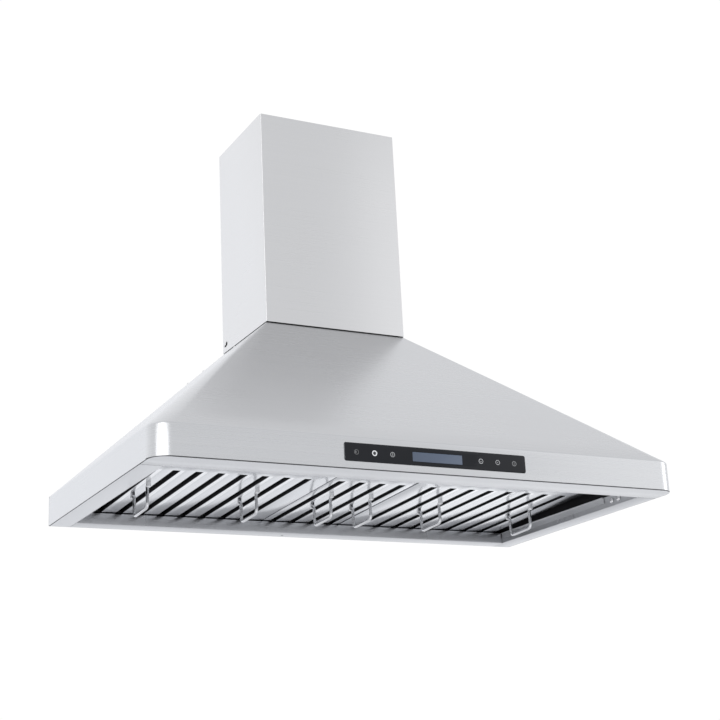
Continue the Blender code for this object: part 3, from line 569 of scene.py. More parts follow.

# ---- liners ----
# The inner side walls, plain mill-finish sheet stood on the flanges with a lip turned out at the top, and
# bored for the two guide screws.  Above the guide the sheet is painted black as shade.
GUIDE_TOP = 19 * MM
for tag, side in SIDES:
    low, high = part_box(f"liner_{tag}")
    inner, outer = inner_outer(low, high, side)
    wall = [(inner, low.z), (inner, high.z), (outer, high.z)]
    liner = folded_sheet(f"liner_{tag}_wall", [(x, low.y, z) for x, z in wall], (0, high.y - low.y, 0), SKIN,
                         2.5 * MM, offset=-side)
    for number in (1, 2):
        screw_low, screw_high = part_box(f"guide_screw_{tag}_{number}")
        middle = (screw_low + screw_high) / 2
        drill(liner, (inner, middle.y, middle.z), (1, 0, 0), 2.4 * MM, depth=0.01, sides=24)
    edit(liner)
    slice_mesh((0, 0, UNDERSIDE + GUIDE_TOP), (0, 0, 1))
    done()
    finish_piece(liner, mottled, "hood", "plain_steel", f"liner_{tag}")
    # above the guide the wall is painted black as shade
    second_material(liner, painted_shade_steel, lambda n, c: c.z > UNDERSIDE + GUIDE_TOP)

# ---- rear channel ----
# The strip along the wall: bright brushed lip below, mill-finish riser facing the cook, and a ledge on top
# for the rear edges of the filters.  A small drain hole is punched in the lip.
low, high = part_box("rear_channel")
LIP_DEPTH, LEDGE_REAR = 34 * MM, -6 * MM
outline = [(high.y, low.z), (-LIP_DEPTH, low.z), (-LIP_DEPTH, high.z), (LEDGE_REAR, high.z)]
rear_channel = folded_sheet("rear_channel_folded", [(high.x, y, z) for y, z in outline], (low.x - high.x, 0, 0),
                            SKIN, 0.9 * MM)
drill(rear_channel, (-0.033, -0.012, low.z), (0, 0, 1), 2.5 * MM, depth=0.008, sides=24)
finish_piece(rear_channel, under_x, "hood", "brushed_steel", "rear_channel")
second_material(rear_channel, mottled, lambda n, c: c.z > low.z + 0.3 * MM)

# ---- side guides ----
# Angles beside the filters: the flange keeps grease off the side wall, the lip below it carries the edge
# of the filter.  Ahead of each, two pan-head screws with cross recesses hold the liner.
guide_steel = brushed_steel("steel_guides", (1100, 4, 1100), (0.62, 0.625, 0.64), 0.30, 1.0)
for tag, side in SIDES:
    low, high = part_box(f"side_guide_{tag}")
    inner, outer = inner_outer(low, high, side)
    angle = [(outer - side * 4 * MM, high.z), (outer, high.z), (outer, low.z)]
    guide = folded_sheet(f"side_guide_{tag}_angle", [(x, low.y, z) for x, z in angle], (0, high.y - low.y, 0), SKIN,
                         1.4 * MM, offset=-side)
    finish_piece(guide, guide_steel, "hood", "plain_steel", f"side_guide_{tag}")


def lathe(name, profile, centre, axis=(0, 0, 1), steps=48):
    """A profile of (radius, height) spun about an axis through `centre`."""
    up = Vector(axis)
    out = Vector((1, 0, 0)) if abs(up.x) < 0.5 else Vector((0, 1, 0))
    piece = outline_piece(name, [tuple(Vector(centre) + out * r + up * h) for r, h in profile],
                          closed=profile[0][0] > 0 and profile[-1][0] > 0)
    edit(piece)
    bpy.ops.mesh.select_all(action="SELECT")
    bpy.ops.mesh.spin(steps=steps, angle=2 * pi, center=centre, axis=axis)
    face_outward(merge=True)
    done()
    return piece


def mould(profile):
    """A lathe profile given in millimetres."""
    return [(r * MM, h * MM) for r, h in profile]


screw_steel = brushed_steel("nickel_plated_screws", (300, 300, 300), (0.74, 0.74, 0.75), 0.10, 0.5)
PAN_HEAD = mould([(0, 3.0), (1.6, 2.9), (3.1, 2.5), (4.1, 1.8), (4.6, 0.9), (4.7, 0.3), (4.4, 0.02), (2.0, 0),
                  (2.0, -4.4), (1.4, -5), (0, -5)])
for tag, side in SIDES:
    for number in (1, 2):
        low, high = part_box(f"guide_screw_{tag}_{number}")
        middle = (low + high) / 2
        seat = high.x - 2.4 * MM if side < 0 else low.x + 2.4 * MM
        screw = lathe(f"guide_screw_{tag}_{number}_pan", PAN_HEAD, (seat, middle.y, middle.z), (-side, 0, 0), 28)
        for across in ((0.4 * MM, 2.0 * MM), (2.0 * MM, 0.4 * MM)):
            recess = box_between("recess", (seat - side * 1.1 * MM, middle.y - across[0], middle.z - across[1]),
                                 (seat - side * 3.0 * MM, middle.y + across[0], middle.z + across[1]))
            edit(recess)
            face_outward()
            done()
            carve(screw, recess)
        finish_piece(screw, screw_steel, "hood", "chrome_wire", f"guide_screw_{tag}_{number}")

# ---- baffle filters ----
# Each is a pressed tray with turned-up slot edges, and above the slots a row of inverted baffles that
# makes the air turn twice.  The baffles and the slot edges are painted black as the shade inside the slots.
# It hangs a little low at the rear and rests on the two ledges by its own weight.
FILTER_SHEET = 0.8 * MM
FILTER_LENGTH, FILTER_DEPTH = 344 * MM, 12 * MM
SLOT_FRONT, SLOT_REAR = -FILTER_LENGTH + 43 * MM, -22 * MM
SLAT_PITCH, SLOT_WIDTH, SLAT_RISE, SLOT_TURN, SLOT_START = 36.7 * MM, 12.2 * MM, 4 * MM, 1 * MM, 1.4 * MM
# width and rear end of the painted highlight strip beside each slat
SLAT_HIGHLIGHT, SLAT_HIGHLIGHT_END = 7.0 * MM, -46 * MM
HUNG = Matrix.Translation((0, -0.010, UNDERSIDE + 19.6 * MM)) @ Matrix.Rotation(-0.03578, 4, "X")
tray_steel = brushed_steel("steel_filter_trays", (500, 4, 500), (0.62, 0.63, 0.65), 0.17, 0.10, 0.2)
painted_highlight_steel = brushed_steel("steel_slat_edges_painted_highlight", (500, 4, 500), (0.84, 0.845, 0.855), 0.16, 0.3, 0.3)
painted_shade_baffle_steel = brushed_steel("steel_upper_baffles_painted_shade", (700, 5, 700), (0.012, 0.012, 0.013), 0.55, 0.8)
bail_places = []


def facing_down(normal, centre):
    return normal.z < -0.9


def hang(piece):
    """Sets a piece drawn flat, from the filters' rear edge, at the filters' tilt."""
    piece.matrix_world = HUNG
    settle(piece)


def join(pieces):
    """Joins pieces into the first of them."""
    bpy.ops.object.select_all(action="DESELECT")
    for piece in pieces:
        piece.select_set(True)
    bpy.context.view_layer.objects.active = pieces[0]
    bpy.ops.object.join()
    return pieces[0]


for name, lead, slots, bails in (("filter_left", 24.5 * MM, 8, (0, 5)), ("filter_middle", 11.8 * MM, 4, (0, 2)),
                                 ("filter_right", 32.0 * MM, 8, (1, 6))):
    low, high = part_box(name)
    tray = box_between(f"{name}_tray", (low.x, -FILTER_LENGTH, 0), (high.x, 0, FILTER_DEPTH))
    starts = [low.x + lead + n * SLAT_PITCH for n in range(slots)]
    slot_edges = [(start + SLOT_START, start + SLOT_WIDTH + SLOT_TURN) for start in starts]
    slat_edges = [end for _, end in slot_edges[:-1]]
    edit(tray)
    pick_faces(lambda n, c: n.z > 0.9)
    bpy.ops.mesh.delete(type="FACE")
    for x in [x for pair in slot_edges for x in pair]:
        slice_mesh((x, 0, 0), (1, 0, 0), facing_down)
    for y in (SLOT_FRONT - SLOT_TURN, SLOT_REAR + SLOT_TURN):
        slice_mesh((0, y, 0), (0, 1, 0), facing_down)
    pick_faces(lambda n, c: n.z < -0.9 and SLOT_FRONT < c.y < SLOT_REAR
               and any(a < c.x < b for a, b in slot_edges))
    bpy.ops.mesh.inset(thickness=1.2 * MM, depth=-SLAT_RISE, use_individual=True)
    bpy.ops.mesh.delete(type="FACE")

    def slot_lip(a, b):
        """An edge of a slot on the tray's face: one of its sides, or an end from corner to corner."""
        if not (near(a.z, 0) and near(b.z, 0) and SLOT_FRONT - 5 * MM < (a.y + b.y) / 2 < SLOT_REAR + 5 * MM):
            return False
        if near(a.y, b.y):
            return any(near(min(a.x, b.x), start) and near(max(a.x, b.x), end) for start, end in slot_edges)
        return any(near(a.x, x) or near(b.x, x) for pair in slot_edges for x in pair)

    round_edges(slot_lip, 0.7 * MM, 3)
    round_edges(lambda a, b: near(a.x, b.x) and near(a.y, b.y) and abs(a.z - b.z) > 0.01, 4 * MM, 6)
    round_edges(lambda a, b: near(a.z, 0) and near(b.z, 0) and min(
        abs(a.x - low.x) + abs(b.x - low.x), abs(a.x - high.x) + abs(b.x - high.x),
        abs(a.y) + abs(b.y), abs(a.y + FILTER_LENGTH) + abs(b.y + FILTER_LENGTH)) < 0.1 * MM, 1.2 * MM, 3)
    # a strip beside one edge of every slat is painted bright as a highlight, short of the rear
    for x in slat_edges:
        slice_mesh((x + SLAT_HIGHLIGHT, 0, 0), (1, 0, 0), facing_down)
    slice_mesh((0, SLAT_HIGHLIGHT_END, 0), (0, 1, 0), facing_down)
    done()
    thicken(tray, FILTER_SHEET)
    bail_places += [(name, starts[n] + (SLAT_PITCH + SLOT_WIDTH) / 2) for n in bails]
    hang(tray)
    turned_up = HUNG.inverted()
    finish_piece(tray, tray_steel, name, "brushed_steel", name)
    # the slots' turned-up edges are painted black as shade
    second_material(tray, painted_shade_baffle_steel, lambda n, c: (turned_up @ c).z > 0.5 * MM
                  and low.x + 3 * MM < c.x < high.x - 3 * MM
                  and SLOT_FRONT - 3 * MM < (turned_up @ c).y < SLOT_REAR + 3 * MM)
    # a painted highlight on a strip beside each slat's edge
    second_material(tray, painted_highlight_steel, lambda n, c: near((turned_up @ c).z, 0) and (turned_up @ c).y < SLAT_HIGHLIGHT_END
                  and SLOT_FRONT < (turned_up @ c).y and any(x < c.x < x + SLAT_HIGHLIGHT for x in slat_edges), 2)
    strips = []
    half, fall = SLOT_WIDTH / 2 + 0.9 * MM, SLAT_RISE
    top = FILTER_DEPTH - FILTER_SHEET
    for start in starts:
        x = start + SLOT_WIDTH / 2
        profile = [(x - half - fall, top - fall), (x - half, top), (x + half, top), (x + half + fall, top - fall)]
        strips.append(folded_sheet("cap", [(px, -FILTER_LENGTH + 5 * MM, pz) for px, pz in profile],
                                   (0, FILTER_LENGTH - 10 * MM, 0), FILTER_SHEET, 0.8 * MM))
    for y_low, y_high in ((-FILTER_LENGTH + 1.1 * MM, -FILTER_LENGTH + 19 * MM), (-19 * MM, -1.1 * MM)):
        bar = box_between("bar", (starts[0] - 3 * MM, y_low, top - FILTER_SHEET),
                          (starts[-1] + SLOT_WIDTH + 3 * MM, y_high, top))
        soften(bar, 0.25 * MM)
        strips.append(bar)
    baffles = join(strips)
    baffles.name = f"{name}_baffle_row"
    hang(baffles)
    finish_piece(baffles, painted_shade_baffle_steel, name, "plain_steel", f"{name}_upper_baffles")

# ---- bails ----
# Six swinging handles of 5 mm wire, bent square with the ends turned out, chromed and buffed.  Each pin
# turns in a small pressed pocket welded under a slat; the pockets are painted paler than the slats as painted light.
BAIL_WIRE, BAIL_SPAN, BAIL_DROP, BAIL_PIN, BAIL_BEND = 2.5 * MM, 63.5 * MM, 33.98 * MM, 8 * MM, 8 * MM
BAIL_TURN = 2.6 * MM
BAIL_Y, PIN_Z = -189.54 * MM, -4.45 * MM
POCKET_WALL, POCKET_ROOM = 0.5 * MM, 0.7 * MM
wire_chrome = brushed_steel("chromed_wire", (140, 140, 140), (0.70, 0.705, 0.72), 0.10, 0.3, 0.4)
# the pockets' steel is painted paler than the slats' as painted light
painted_light_pocket_steel = brushed_steel("satin_bail_pockets_painted_light", (300, 300, 300), (0.86, 0.865, 0.875), 0.5, 0.3, 0.4)
for number, (carrier, x) in enumerate(bail_places, 1):
    half, bend = BAIL_SPAN / 2, BAIL_BEND
    arm = [(-half - BAIL_PIN, 0.0)]
    arm += [(-half - BAIL_TURN * (1 - sin(a)), -BAIL_TURN * (1 - cos(a))) for a in
            (pi / 2 * i / 5 for i in range(6))]
    arm += [(-half + bend * (1 - cos(a)), -BAIL_DROP + bend * (1 - sin(a))) for a in
            (pi / 2 * i / 7 for i in range(8))]
    route = arm + [(-y, z) for y, z in reversed(arm)]
    wire = bpy.data.curves.new(f"bail_{number}_wire", "CURVE")
    wire.dimensions = "3D"
    wire.bevel_depth = BAIL_WIRE
    wire.bevel_resolution = 6
    wire.use_fill_caps = True
    spline = wire.splines.new("POLY")
    spline.points.add(len(route) - 1)
    for point, (y, z) in zip(spline.points, route):
        point.co = (x, BAIL_Y + y, PIN_Z + z, 1)
    bail = bpy.data.objects.new(f"bail_{number}_wire", wire)
    scene.collection.objects.link(bail)
    only(bail)
    bpy.ops.object.convert(target="MESH")
    bail = bpy.context.object
    edit(bail)
    face_outward(merge=True)
    done()
    soften(bail, 0.5 * MM, angle=60)
    hang(bail)
    finish_piece(bail, wire_chrome, f"bail_{number}", "chrome_wire", f"bail_{number}", angle=50)
    for end, word in ((-1, "front"), (1, "rear")):
        inside, outside = BAIL_Y + end * (half + 3.8 * MM), BAIL_Y + end * (half + BAIL_PIN + POCKET_ROOM)
        reach = BAIL_WIRE + POCKET_ROOM
        pocket = box_between(f"bail_{number}_pocket_{word}", (x - reach, min(inside, outside), PIN_Z - reach),
                             (x + reach, max(inside, outside), -0.05 * MM))
        edit(pocket)
        pick_faces(lambda n, c: n.z > 0.9 or n.y * end < -0.9)
        bpy.ops.mesh.delete(type="FACE")
        round_edges(lambda a, b: near(a.z, b.z) and a.z < PIN_Z and b.z < PIN_Z and abs(a.y - b.y) > 1 * MM,
                    2.2 * MM, 5)
        round_edges(lambda a, b: near(a.y, outside) and near(b.y, outside), 0.8 * MM, 3)
        done()
        thicken(pocket, POCKET_WALL)
        hang(pocket)
        finish_piece(pocket, painted_light_pocket_steel, carrier, "brushed_steel")

# ---- controls ----
# A black glass strip let into the band, with rounded corners and a polished edge.  Six touch marks are
# printed behind it and a small liquid-crystal window sits in the middle; a plastic box closes the rear.
glass_low, glass_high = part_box("control_glass")
window_low, window_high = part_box("display_window")
GLASS_FACE = glass_low.y + 0.1 * MM


def plain_material(name, colour, roughness, metallic=0.0, mottle=0.12, scale=90.0, bump=0.05):
    """Moulded or painted finish: slow change of tone and a little orange peel."""
    material = bpy.data.materials.new(name)
    material.use_nodes = True
    nodes, links = material.node_tree.nodes, material.node_tree.links
    shader = nodes["Principled BSDF"]
    shader.inputs["Metallic"].default_value = metallic
    place = nodes.new("ShaderNodeTexCoord")
    grain = nodes.new("ShaderNodeTexNoise")
    grain.inputs["Scale"].default_value = scale
    grain.inputs["Detail"].default_value = 3.0
    links.new(place.outputs["Object"], grain.inputs["Vector"])
    tone = nodes.new("ShaderNodeValToRGB")
    tone.color_ramp.elements[0].position = 0.3
    tone.color_ramp.elements[1].position = 0.7
    tone.color_ramp.elements[0].color = (*[c * (1 - mottle) for c in colour], 1)
    tone.color_ramp.elements[1].color = (*[min(1, c * (1 + mottle)) for c in colour], 1)
    links.new(grain.outputs["Fac"], tone.inputs["Fac"])
    links.new(tone.outputs["Color"], shader.inputs["Base Color"])
    gloss = nodes.new("ShaderNodeMapRange")
    gloss.inputs["To Min"].default_value = max(0.02, roughness * 0.8)
    gloss.inputs["To Max"].default_value = roughness * 1.2
    links.new(grain.outputs["Fac"], gloss.inputs["Value"])
    links.new(gloss.outputs["Result"], shader.inputs["Roughness"])
    peel = nodes.new("ShaderNodeBump")
    peel.inputs["Strength"].default_value = bump
    peel.inputs["Distance"].default_value = 0.0003
    links.new(grain.outputs["Fac"], peel.inputs["Height"])
    links.new(peel.outputs["Normal"], shader.inputs["Normal"])
    return material


black_glass = plain_material("black_control_glass", (0.010, 0.011, 0.014), 0.07, mottle=0.15, scale=14, bump=0.004)
polished_edge = plain_material("polished_glass_edge", (0.45, 0.46, 0.48), 0.2, metallic=0.6, scale=200)
glass = rounded_box("control_glass_strip", (glass_low.x, GLASS_FACE, glass_low.z), glass_high,
                    (along_y, GLASS_CORNER, 8),
                    (lambda a, b: near(a.y, GLASS_FACE) and near(b.y, GLASS_FACE), 0.35 * MM, 2))
window_hole = box_between("window_hole",
                          (window_low.x - PANEL_GAP, glass_low.y - CUT_OVER, window_low.z - PANEL_GAP),
                          (window_high.x + PANEL_GAP, glass_high.y + CUT_OVER, window_high.z + PANEL_GAP))
carve(glass, window_hole)
black_glass.node_tree.nodes["Principled BSDF"].inputs["Specular IOR Level"].default_value = 0.26
finish_piece(glass, black_glass, "hood", "black_glass", "control_glass", angle=25)
second_material(glass, polished_edge, lambda n, c: abs(n.x) > 0.6 and abs(c.x) > 0.15 and c.y < GLASS_FACE + 1.5 * MM)

# the window is painted lighter towards +X as the backlight's glow, with fine noise for the cells
display = bpy.data.materials.new("liquid_crystal_window")
display.use_nodes = True
nodes, links = display.node_tree.nodes, display.node_tree.links
nodes["Principled BSDF"].inputs["Roughness"].default_value = 0.16
place = nodes.new("ShaderNodeTexCoord")
split = nodes.new("ShaderNodeSeparateXYZ")
links.new(place.outputs["Object"], split.inputs[0])
glow = nodes.new("ShaderNodeMapRange")
glow.inputs["From Min"].default_value = window_low.x
glow.inputs["From Max"].default_value = window_high.x
links.new(split.outputs["X"], glow.inputs["Value"])
cells = nodes.new("ShaderNodeTexNoise")
cells.inputs["Scale"].default_value = 900.0
links.new(place.outputs["Object"], cells.inputs["Vector"])
backlight = nodes.new("ShaderNodeMath")
backlight.operation = "MULTIPLY_ADD"
backlight.inputs[1].default_value = 0.25
links.new(cells.outputs["Fac"], backlight.inputs[0])
links.new(glow.outputs["Result"], backlight.inputs[2])
tint = nodes.new("ShaderNodeValToRGB")
tint.color_ramp.elements[0].position = 0.1
tint.color_ramp.elements[0].color = (0.088, 0.112, 0.160, 1)
tint.color_ramp.elements[1].color = (0.108, 0.136, 0.192, 1)
links.new(backlight.outputs[0], tint.inputs["Fac"])
links.new(tint.outputs["Color"], nodes["Principled BSDF"].inputs["Base Color"])
PANE_FACE = glass_low.y + 0.3 * MM
window = rounded_box("display_pane", (window_low.x, PANE_FACE, window_low.z), window_high, (along_y, 0.6 * MM, 3),
                     (lambda a, b: near(a.y, PANE_FACE) and near(b.y, a.y), 0.2 * MM, 2))
finish_piece(window, display, "hood", "display", "display_window", angle=25)

# Touch marks: rings 6.9 mm across with plain strokes inside.  Each has its place across, its brightness, the
# ring's half thickness and its strokes (dx, dz, half width, half height), lengths in mm.
MARK_Z = UNDERSIDE + 25.6 * MM
RING = 3.45 * MM
TOUCH_MARKS = (
    (-137, 0.16, 0.35, ((-1.1, 0.0, 1.0, 1.7),)),
    (-107, 0.80, 0.8, ((0.7, 0.5, 0.5, 0.5),)),
    (-77, 0.42, 0.38, ((0.0, 0.9, 0.3, 1.5), (0.0, -0.9, 1.5, 0.3), (0.0, 0.9, 1.2, 0.25))),
    (76, 0.62, 0.36, ((0.0, -0.6, 1.3, 0.3),)),
    (106, 0.52, 0.36, ((0.0, 0.0, 0.9, 0.3), (0.0, 0.0, 0.3, 0.9))),
    (136, 0.30, 0.4, ((0.0, 0.0, 0.35, 1.9),)))
for number, (x, light, stroke, strokes) in enumerate(TOUCH_MARKS, 1):
    ink = plain_material(f"touch_mark_ink_{number}", (light, light * 1.01, light * 1.03), 0.4, mottle=0.05)
    bpy.ops.object.select_all(action="DESELECT")
    bpy.ops.mesh.primitive_torus_add(major_radius=RING, minor_radius=stroke * MM, major_segments=48,
                                     minor_segments=8, location=(x * MM, GLASS_FACE, MARK_Z), rotation=(pi / 2, 0, 0))
    mark = bpy.context.object
    mark.name = f"touch_mark_{number}"
    settle(mark)
    edit(mark)
    bpy.ops.mesh.select_all(action="SELECT")
    bpy.ops.transform.resize(value=(1, 0.08, 1), center_override=(x * MM, GLASS_FACE, MARK_Z))
    done()
    parts = [mark]
    for dx, dz, width, height in strokes:
        bar = box_between("stroke", ((x + dx - width) * MM, GLASS_FACE - 0.03 * MM, MARK_Z + (dz - height) * MM),
                          ((x + dx + width) * MM, GLASS_FACE + 0.03 * MM, MARK_Z + (dz + height) * MM))
        parts.append(bar)
    join(parts)
    finish_piece(mark, ink, "hood", "black_glass", angle=50)

# ---- duct cover ----
# Two nested three-sided covers of 1 mm brushed sheet with their rear edges turned in.  The outer one stands
# on the canopy's rim and hooks over a screw through a keyhole low in each side; the inner one pulls up.
COVER_SHEET, COVER_RETURN = 1.0 * MM, 20 * MM
WALL_SCREWS_Y = (-45 * MM, -25 * MM)
cover_steel = brushed_steel("steel_duct_cover", (3, 3, 2600), (0.735, 0.733, 0.735), 0.25, 0.4)
inner_cover_steel = brushed_steel("steel_inner_cover", (3, 3, 2600), (0.66, 0.665, 0.675), 0.27, 0.6)


def duct_sleeve(name, low, high, returned):
    """Rear edge turned in, side, front, side, rear edge turned in."""
    half = high.x
    plan = [(-half + returned, high.y), (-half, high.y), (-half, low.y), (half, low.y), (half, high.y),
            (half - returned, high.y)]
    return folded_sheet(name, [(x, y, low.z) for x, y in plan], (0, 0, high.z - low.z), COVER_SHEET, 1.4 * MM)


low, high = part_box("lower_cover")
low.z += 1.3 * MM
outer_cover = duct_sleeve("duct_cover_outer", low, high, COVER_RETURN)
# the front is cut a little shorter than the sides and stands clear of the canopy
relief = box_between("relief", (-high.x - 1 * MM, low.y - 5 * MM, low.z - 5 * MM),
                     (high.x + 1 * MM, low.y + 1.6 * MM, low.z + 0.5 * MM))
carve(outer_cover, relief)
# a strip of black foam stuck on the canopy's rim closes the gap from inside as painted shade
gap_shade_plan = [(-high.x + 5.5 * MM, -46 * MM), (-high.x + 5.5 * MM, low.y + 5.5 * MM),
               (high.x - 5.5 * MM, low.y + 5.5 * MM), (high.x - 5.5 * MM, -46 * MM)]
gap_shade_strip = folded_sheet("cover_gap_shade_strip", [(x, y, canopy_high.z) for x, y in gap_shade_plan], (0, 0, 9 * MM), 3 * MM,
                      2 * MM, offset=0)
soften(gap_shade_strip, 0.5 * MM)
painted_shade_foam = plain_material("painted_shade_foam", (0.010, 0.010, 0.010), 0.9, mottle=0.5, scale=900, bump=0.8)
finish_piece(gap_shade_strip, painted_shade_foam, "hood", "black_plastic")
KEYHOLE_Y, KEYHOLE_Z, KEYHOLE_RADIUS = -18.5 * MM, high.z - 376 * MM, 3.8 * MM
sheet_inside = high.x - COVER_SHEET - 0.1 * MM
for tag, side in SIDES:
    drill(outer_cover, (side * high.x, KEYHOLE_Y, KEYHOLE_Z), (1, 0, 0), KEYHOLE_RADIUS)
    # a pad of black foam behind each keyhole is painted shade seen through it
    shade_pad_x = sorted((side * sheet_inside, side * (sheet_inside - 1.5 * MM)))
    shade_pad = box_between(f"keyhole_shade_pad_{tag}", (shade_pad_x[0], -34 * MM, KEYHOLE_Z - 13 * MM),
                       (shade_pad_x[1], -2.5 * MM, KEYHOLE_Z + 12 * MM))
    soften(shade_pad, 0.4 * MM)
    finish_piece(shade_pad, painted_shade_foam, "hood", "black_plastic")
    tail = rounded_box("tail", (side * high.x - 8 * MM, KEYHOLE_Y, KEYHOLE_Z - 4.8 * MM),
                       (side * high.x + 8 * MM, KEYHOLE_Y + 9.5 * MM, KEYHOLE_Z - 1.1 * MM),
                       (lambda a, b: near(a.y, b.y) and near(a.z, b.z), 1.3 * MM, 4))
    carve(outer_cover, tail)
finish_piece(outer_cover, cover_steel, "hood", "brushed_steel", "lower_cover", angle=30)

low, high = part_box("upper_cover")
inner_cover = duct_sleeve("duct_cover_inner", low, high, COVER_RETURN)
for side in (-1, 1):
    for y in WALL_SCREWS_Y:
        drill(inner_cover, (side * high.x, y, high.z - 24 * MM), (1, 0, 0), 2.2 * MM, sides=20)
finish_piece(inner_cover, inner_cover_steel, "duct_cover_upper", "brushed_steel", "upper_cover", angle=30)

# ---- cover tabs ----
# Two small angles riveted to the canopy's rim, tapped for the screws that the cover's keyholes hook over.
# Their black enamel is painted shade, seen through the keyholes.
painted_shade_enamel = plain_material("painted_shade_enamel", (0.010, 0.010, 0.011), 0.6, mottle=0.3, scale=200, bump=0.2)
black_nylon = plain_material("black_nylon", (0.012, 0.012, 0.013), 0.42, mottle=0.2, scale=260, bump=0.25)
galvanised = brushed_steel("galvanised_sheet", (60, 60, 60), (0.50, 0.515, 0.53), 0.40, 2.2, 2.5)
for tag, side in SIDES:
    low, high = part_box(f"cover_tab_{tag}")
    inner, outer = inner_outer(low, high, side)
    foot = [(outer, high.z), (outer, low.z), (inner, low.z)]
    tab = folded_sheet(f"cover_tab_{tag}_angle", [(x, low.y, z) for x, z in foot], (0, high.y - low.y, 0), 1.2 * MM,
                       1.6 * MM, offset=-side)
    drill(tab, (outer, KEYHOLE_Y + 9 * MM, KEYHOLE_Z), (1, 0, 0), 1.6 * MM, sides=20)
    drill(tab, (inner + side * 5 * MM, -30 * MM, low.z), (0, 0, 1), 1.6 * MM, sides=20)
    finish_piece(tab, painted_shade_enamel, "hood", "motor_paint", f"cover_tab_{tag}")

# ---- ceiling bracket ----
# A galvanised U screwed to the wall near the ceiling: a joggled pad with two slots lies on the wall between
# the covers' turned edges, and the inner cover is screwed to its two arms.
low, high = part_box("ceiling_bracket")
PAD_HALF, ARM_BACK, BRACKET_SHEET = 109 * MM, -3.2 * MM, 1.5 * MM
plan = [(low.x, low.y), (low.x, ARM_BACK), (-PAD_HALF, ARM_BACK), (-PAD_HALF, high.y)]
plan += [(-x, y) for x, y in reversed(plan)]
bracket = folded_sheet("ceiling_bracket_folded", [(x, y, high.z) for x, y in plan], (0, 0, low.z - high.z),
                       BRACKET_SHEET, 0.9 * MM)
middle_z = (low.z + high.z) / 2
for x in (-60 * MM, 60 * MM):
    slot = rounded_box("slot", (x - 9 * MM, -20 * MM, middle_z - 2.75 * MM),
                       (x + 9 * MM, 20 * MM, middle_z + 2.75 * MM), (along_y, 2.7 * MM, 6))
    carve(bracket, slot)
for side in (-1, 1):
    for y in WALL_SCREWS_Y:
        drill(bracket, (side * high.x, y, middle_z), (1, 0, 0), 1.7 * MM, sides=20)
finish_piece(bracket, galvanised, "duct_cover_upper", "galvanised_steel", "ceiling_bracket")

# ---- top plate ----
# A galvanised plate under the rim carries the duct collar and, below it, the blower.  It is pierced for the
# blower's mouth, the cable gland and four screws.
low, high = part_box("top_plate")
gland_low, gland_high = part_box("cable_gland")
gland_at = (gland_low + gland_high) / 2
blower_low, blower_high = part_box("blower_housing")
MOUTH_REAR = -90 * MM
plate = box_between("top_plate_pierced", low, high)
mouth = box_between("mouth", (blower_low.x, blower_low.y, low.z - CUT_OVER),
                    (blower_high.x, MOUTH_REAR, high.z + CUT_OVER))
carve(plate, mouth)
drill(plate, (gland_at.x, gland_at.y, high.z), (0, 0, 1), 8.3 * MM)
for x in (-95 * MM, 95 * MM):
    for y in (-170 * MM, -60 * MM):
        drill(plate, (x, y, high.z), (0, 0, 1), 2.2 * MM, sides=20)
soften(plate, 0.3 * MM)
finish_piece(plate, galvanised, "hood", "galvanised_steel", "top_plate")

# ---- duct collar and dampers ----
# A spun collar with a rolled rim and a stiffening bead; inside it two half-round flaps swing on one pin and
# fall shut when the blower stops.
low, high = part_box("duct_collar")
collar_at = ((low.x + high.x) / 2, (low.y + high.y) / 2, low.z)
reach = (high.x - low.x) / 2
COLLAR_SHEET, COLLAR_FOOT, BEAD_LIFT = 1.5 * MM, 3.5 * MM, 1.4 * MM
tube = reach - COLLAR_FOOT
bore = tube - COLLAR_SHEET
height = high.z - low.z
bead = [(tube + BEAD_LIFT * sin(pi * i / 8), height * 0.72 + 6 * MM * (0.5 - i / 8)) for i in range(9)]
inner_bead = [(r - COLLAR_SHEET, h) for r, h in reversed(bead)]
collar = lathe("duct_collar_spun", [(bore, height), (tube - 0.3 * MM, height), (tube, height - 0.4 * MM)] + bead + [
    (tube, 2.2 * MM), (tube + 0.4 * MM, 1.3 * MM), (tube + 1.2 * MM, 1 * MM), (reach, 1 * MM), (reach, 0), (bore, 0)]
    + inner_bead, collar_at, steps=72)
finish_piece(collar, galvanised, "hood", "galvanised_steel", "duct_collar")

for tag, side in (("front", -1), ("rear", 1)):
    f_low, f_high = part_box(f"damper_flap_{tag}")
    edge_y = f_high.y if side < 0 else f_low.y
    rim_y = f_low.y if side < 0 else f_high.y
    radius = abs(rim_y - collar_at[1])
    first = abs(edge_y - collar_at[1]) / radius
    arc = [(radius * cos(a), collar_at[1] + side * radius * sin(a)) for a in
           (first + (pi - 2 * first) * i / 36 for i in range(37))]
    flap = slab(f"damper_{tag}_half_disc", arc, f_low.z, f_high.z)
    # a pressed panel stiffens the flap
    pick_faces(lambda n, c: n.z > 0.9)
    bpy.ops.mesh.inset(thickness=9 * MM, depth=0)
    bpy.ops.mesh.inset(thickness=1.2 * MM, depth=-0.35 * MM)
    done()
    soften(flap, 0.12 * MM)
    finish_piece(flap, galvanised, f"damper_{tag}", "galvanised_steel", f"damper_flap_{tag}")

low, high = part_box("damper_pin")
middle = (low + high) / 2
pin_radius = (high.z - low.z) / 2
pin_half = (high.x - low.x) / 2
pin = lathe("damper_hinge_pin", [(0, pin_half), (pin_radius - 0.5 * MM, pin_half), (pin_radius, pin_half - 0.5 * MM),
                                 (pin_radius, -pin_half + 0.5 * MM), (pin_radius - 0.5 * MM, -pin_half),
                                 (0, -pin_half)], middle, (1, 0, 0), 24)
finish_piece(pin, screw_steel, "hood", "chrome_wire", "damper_pin")

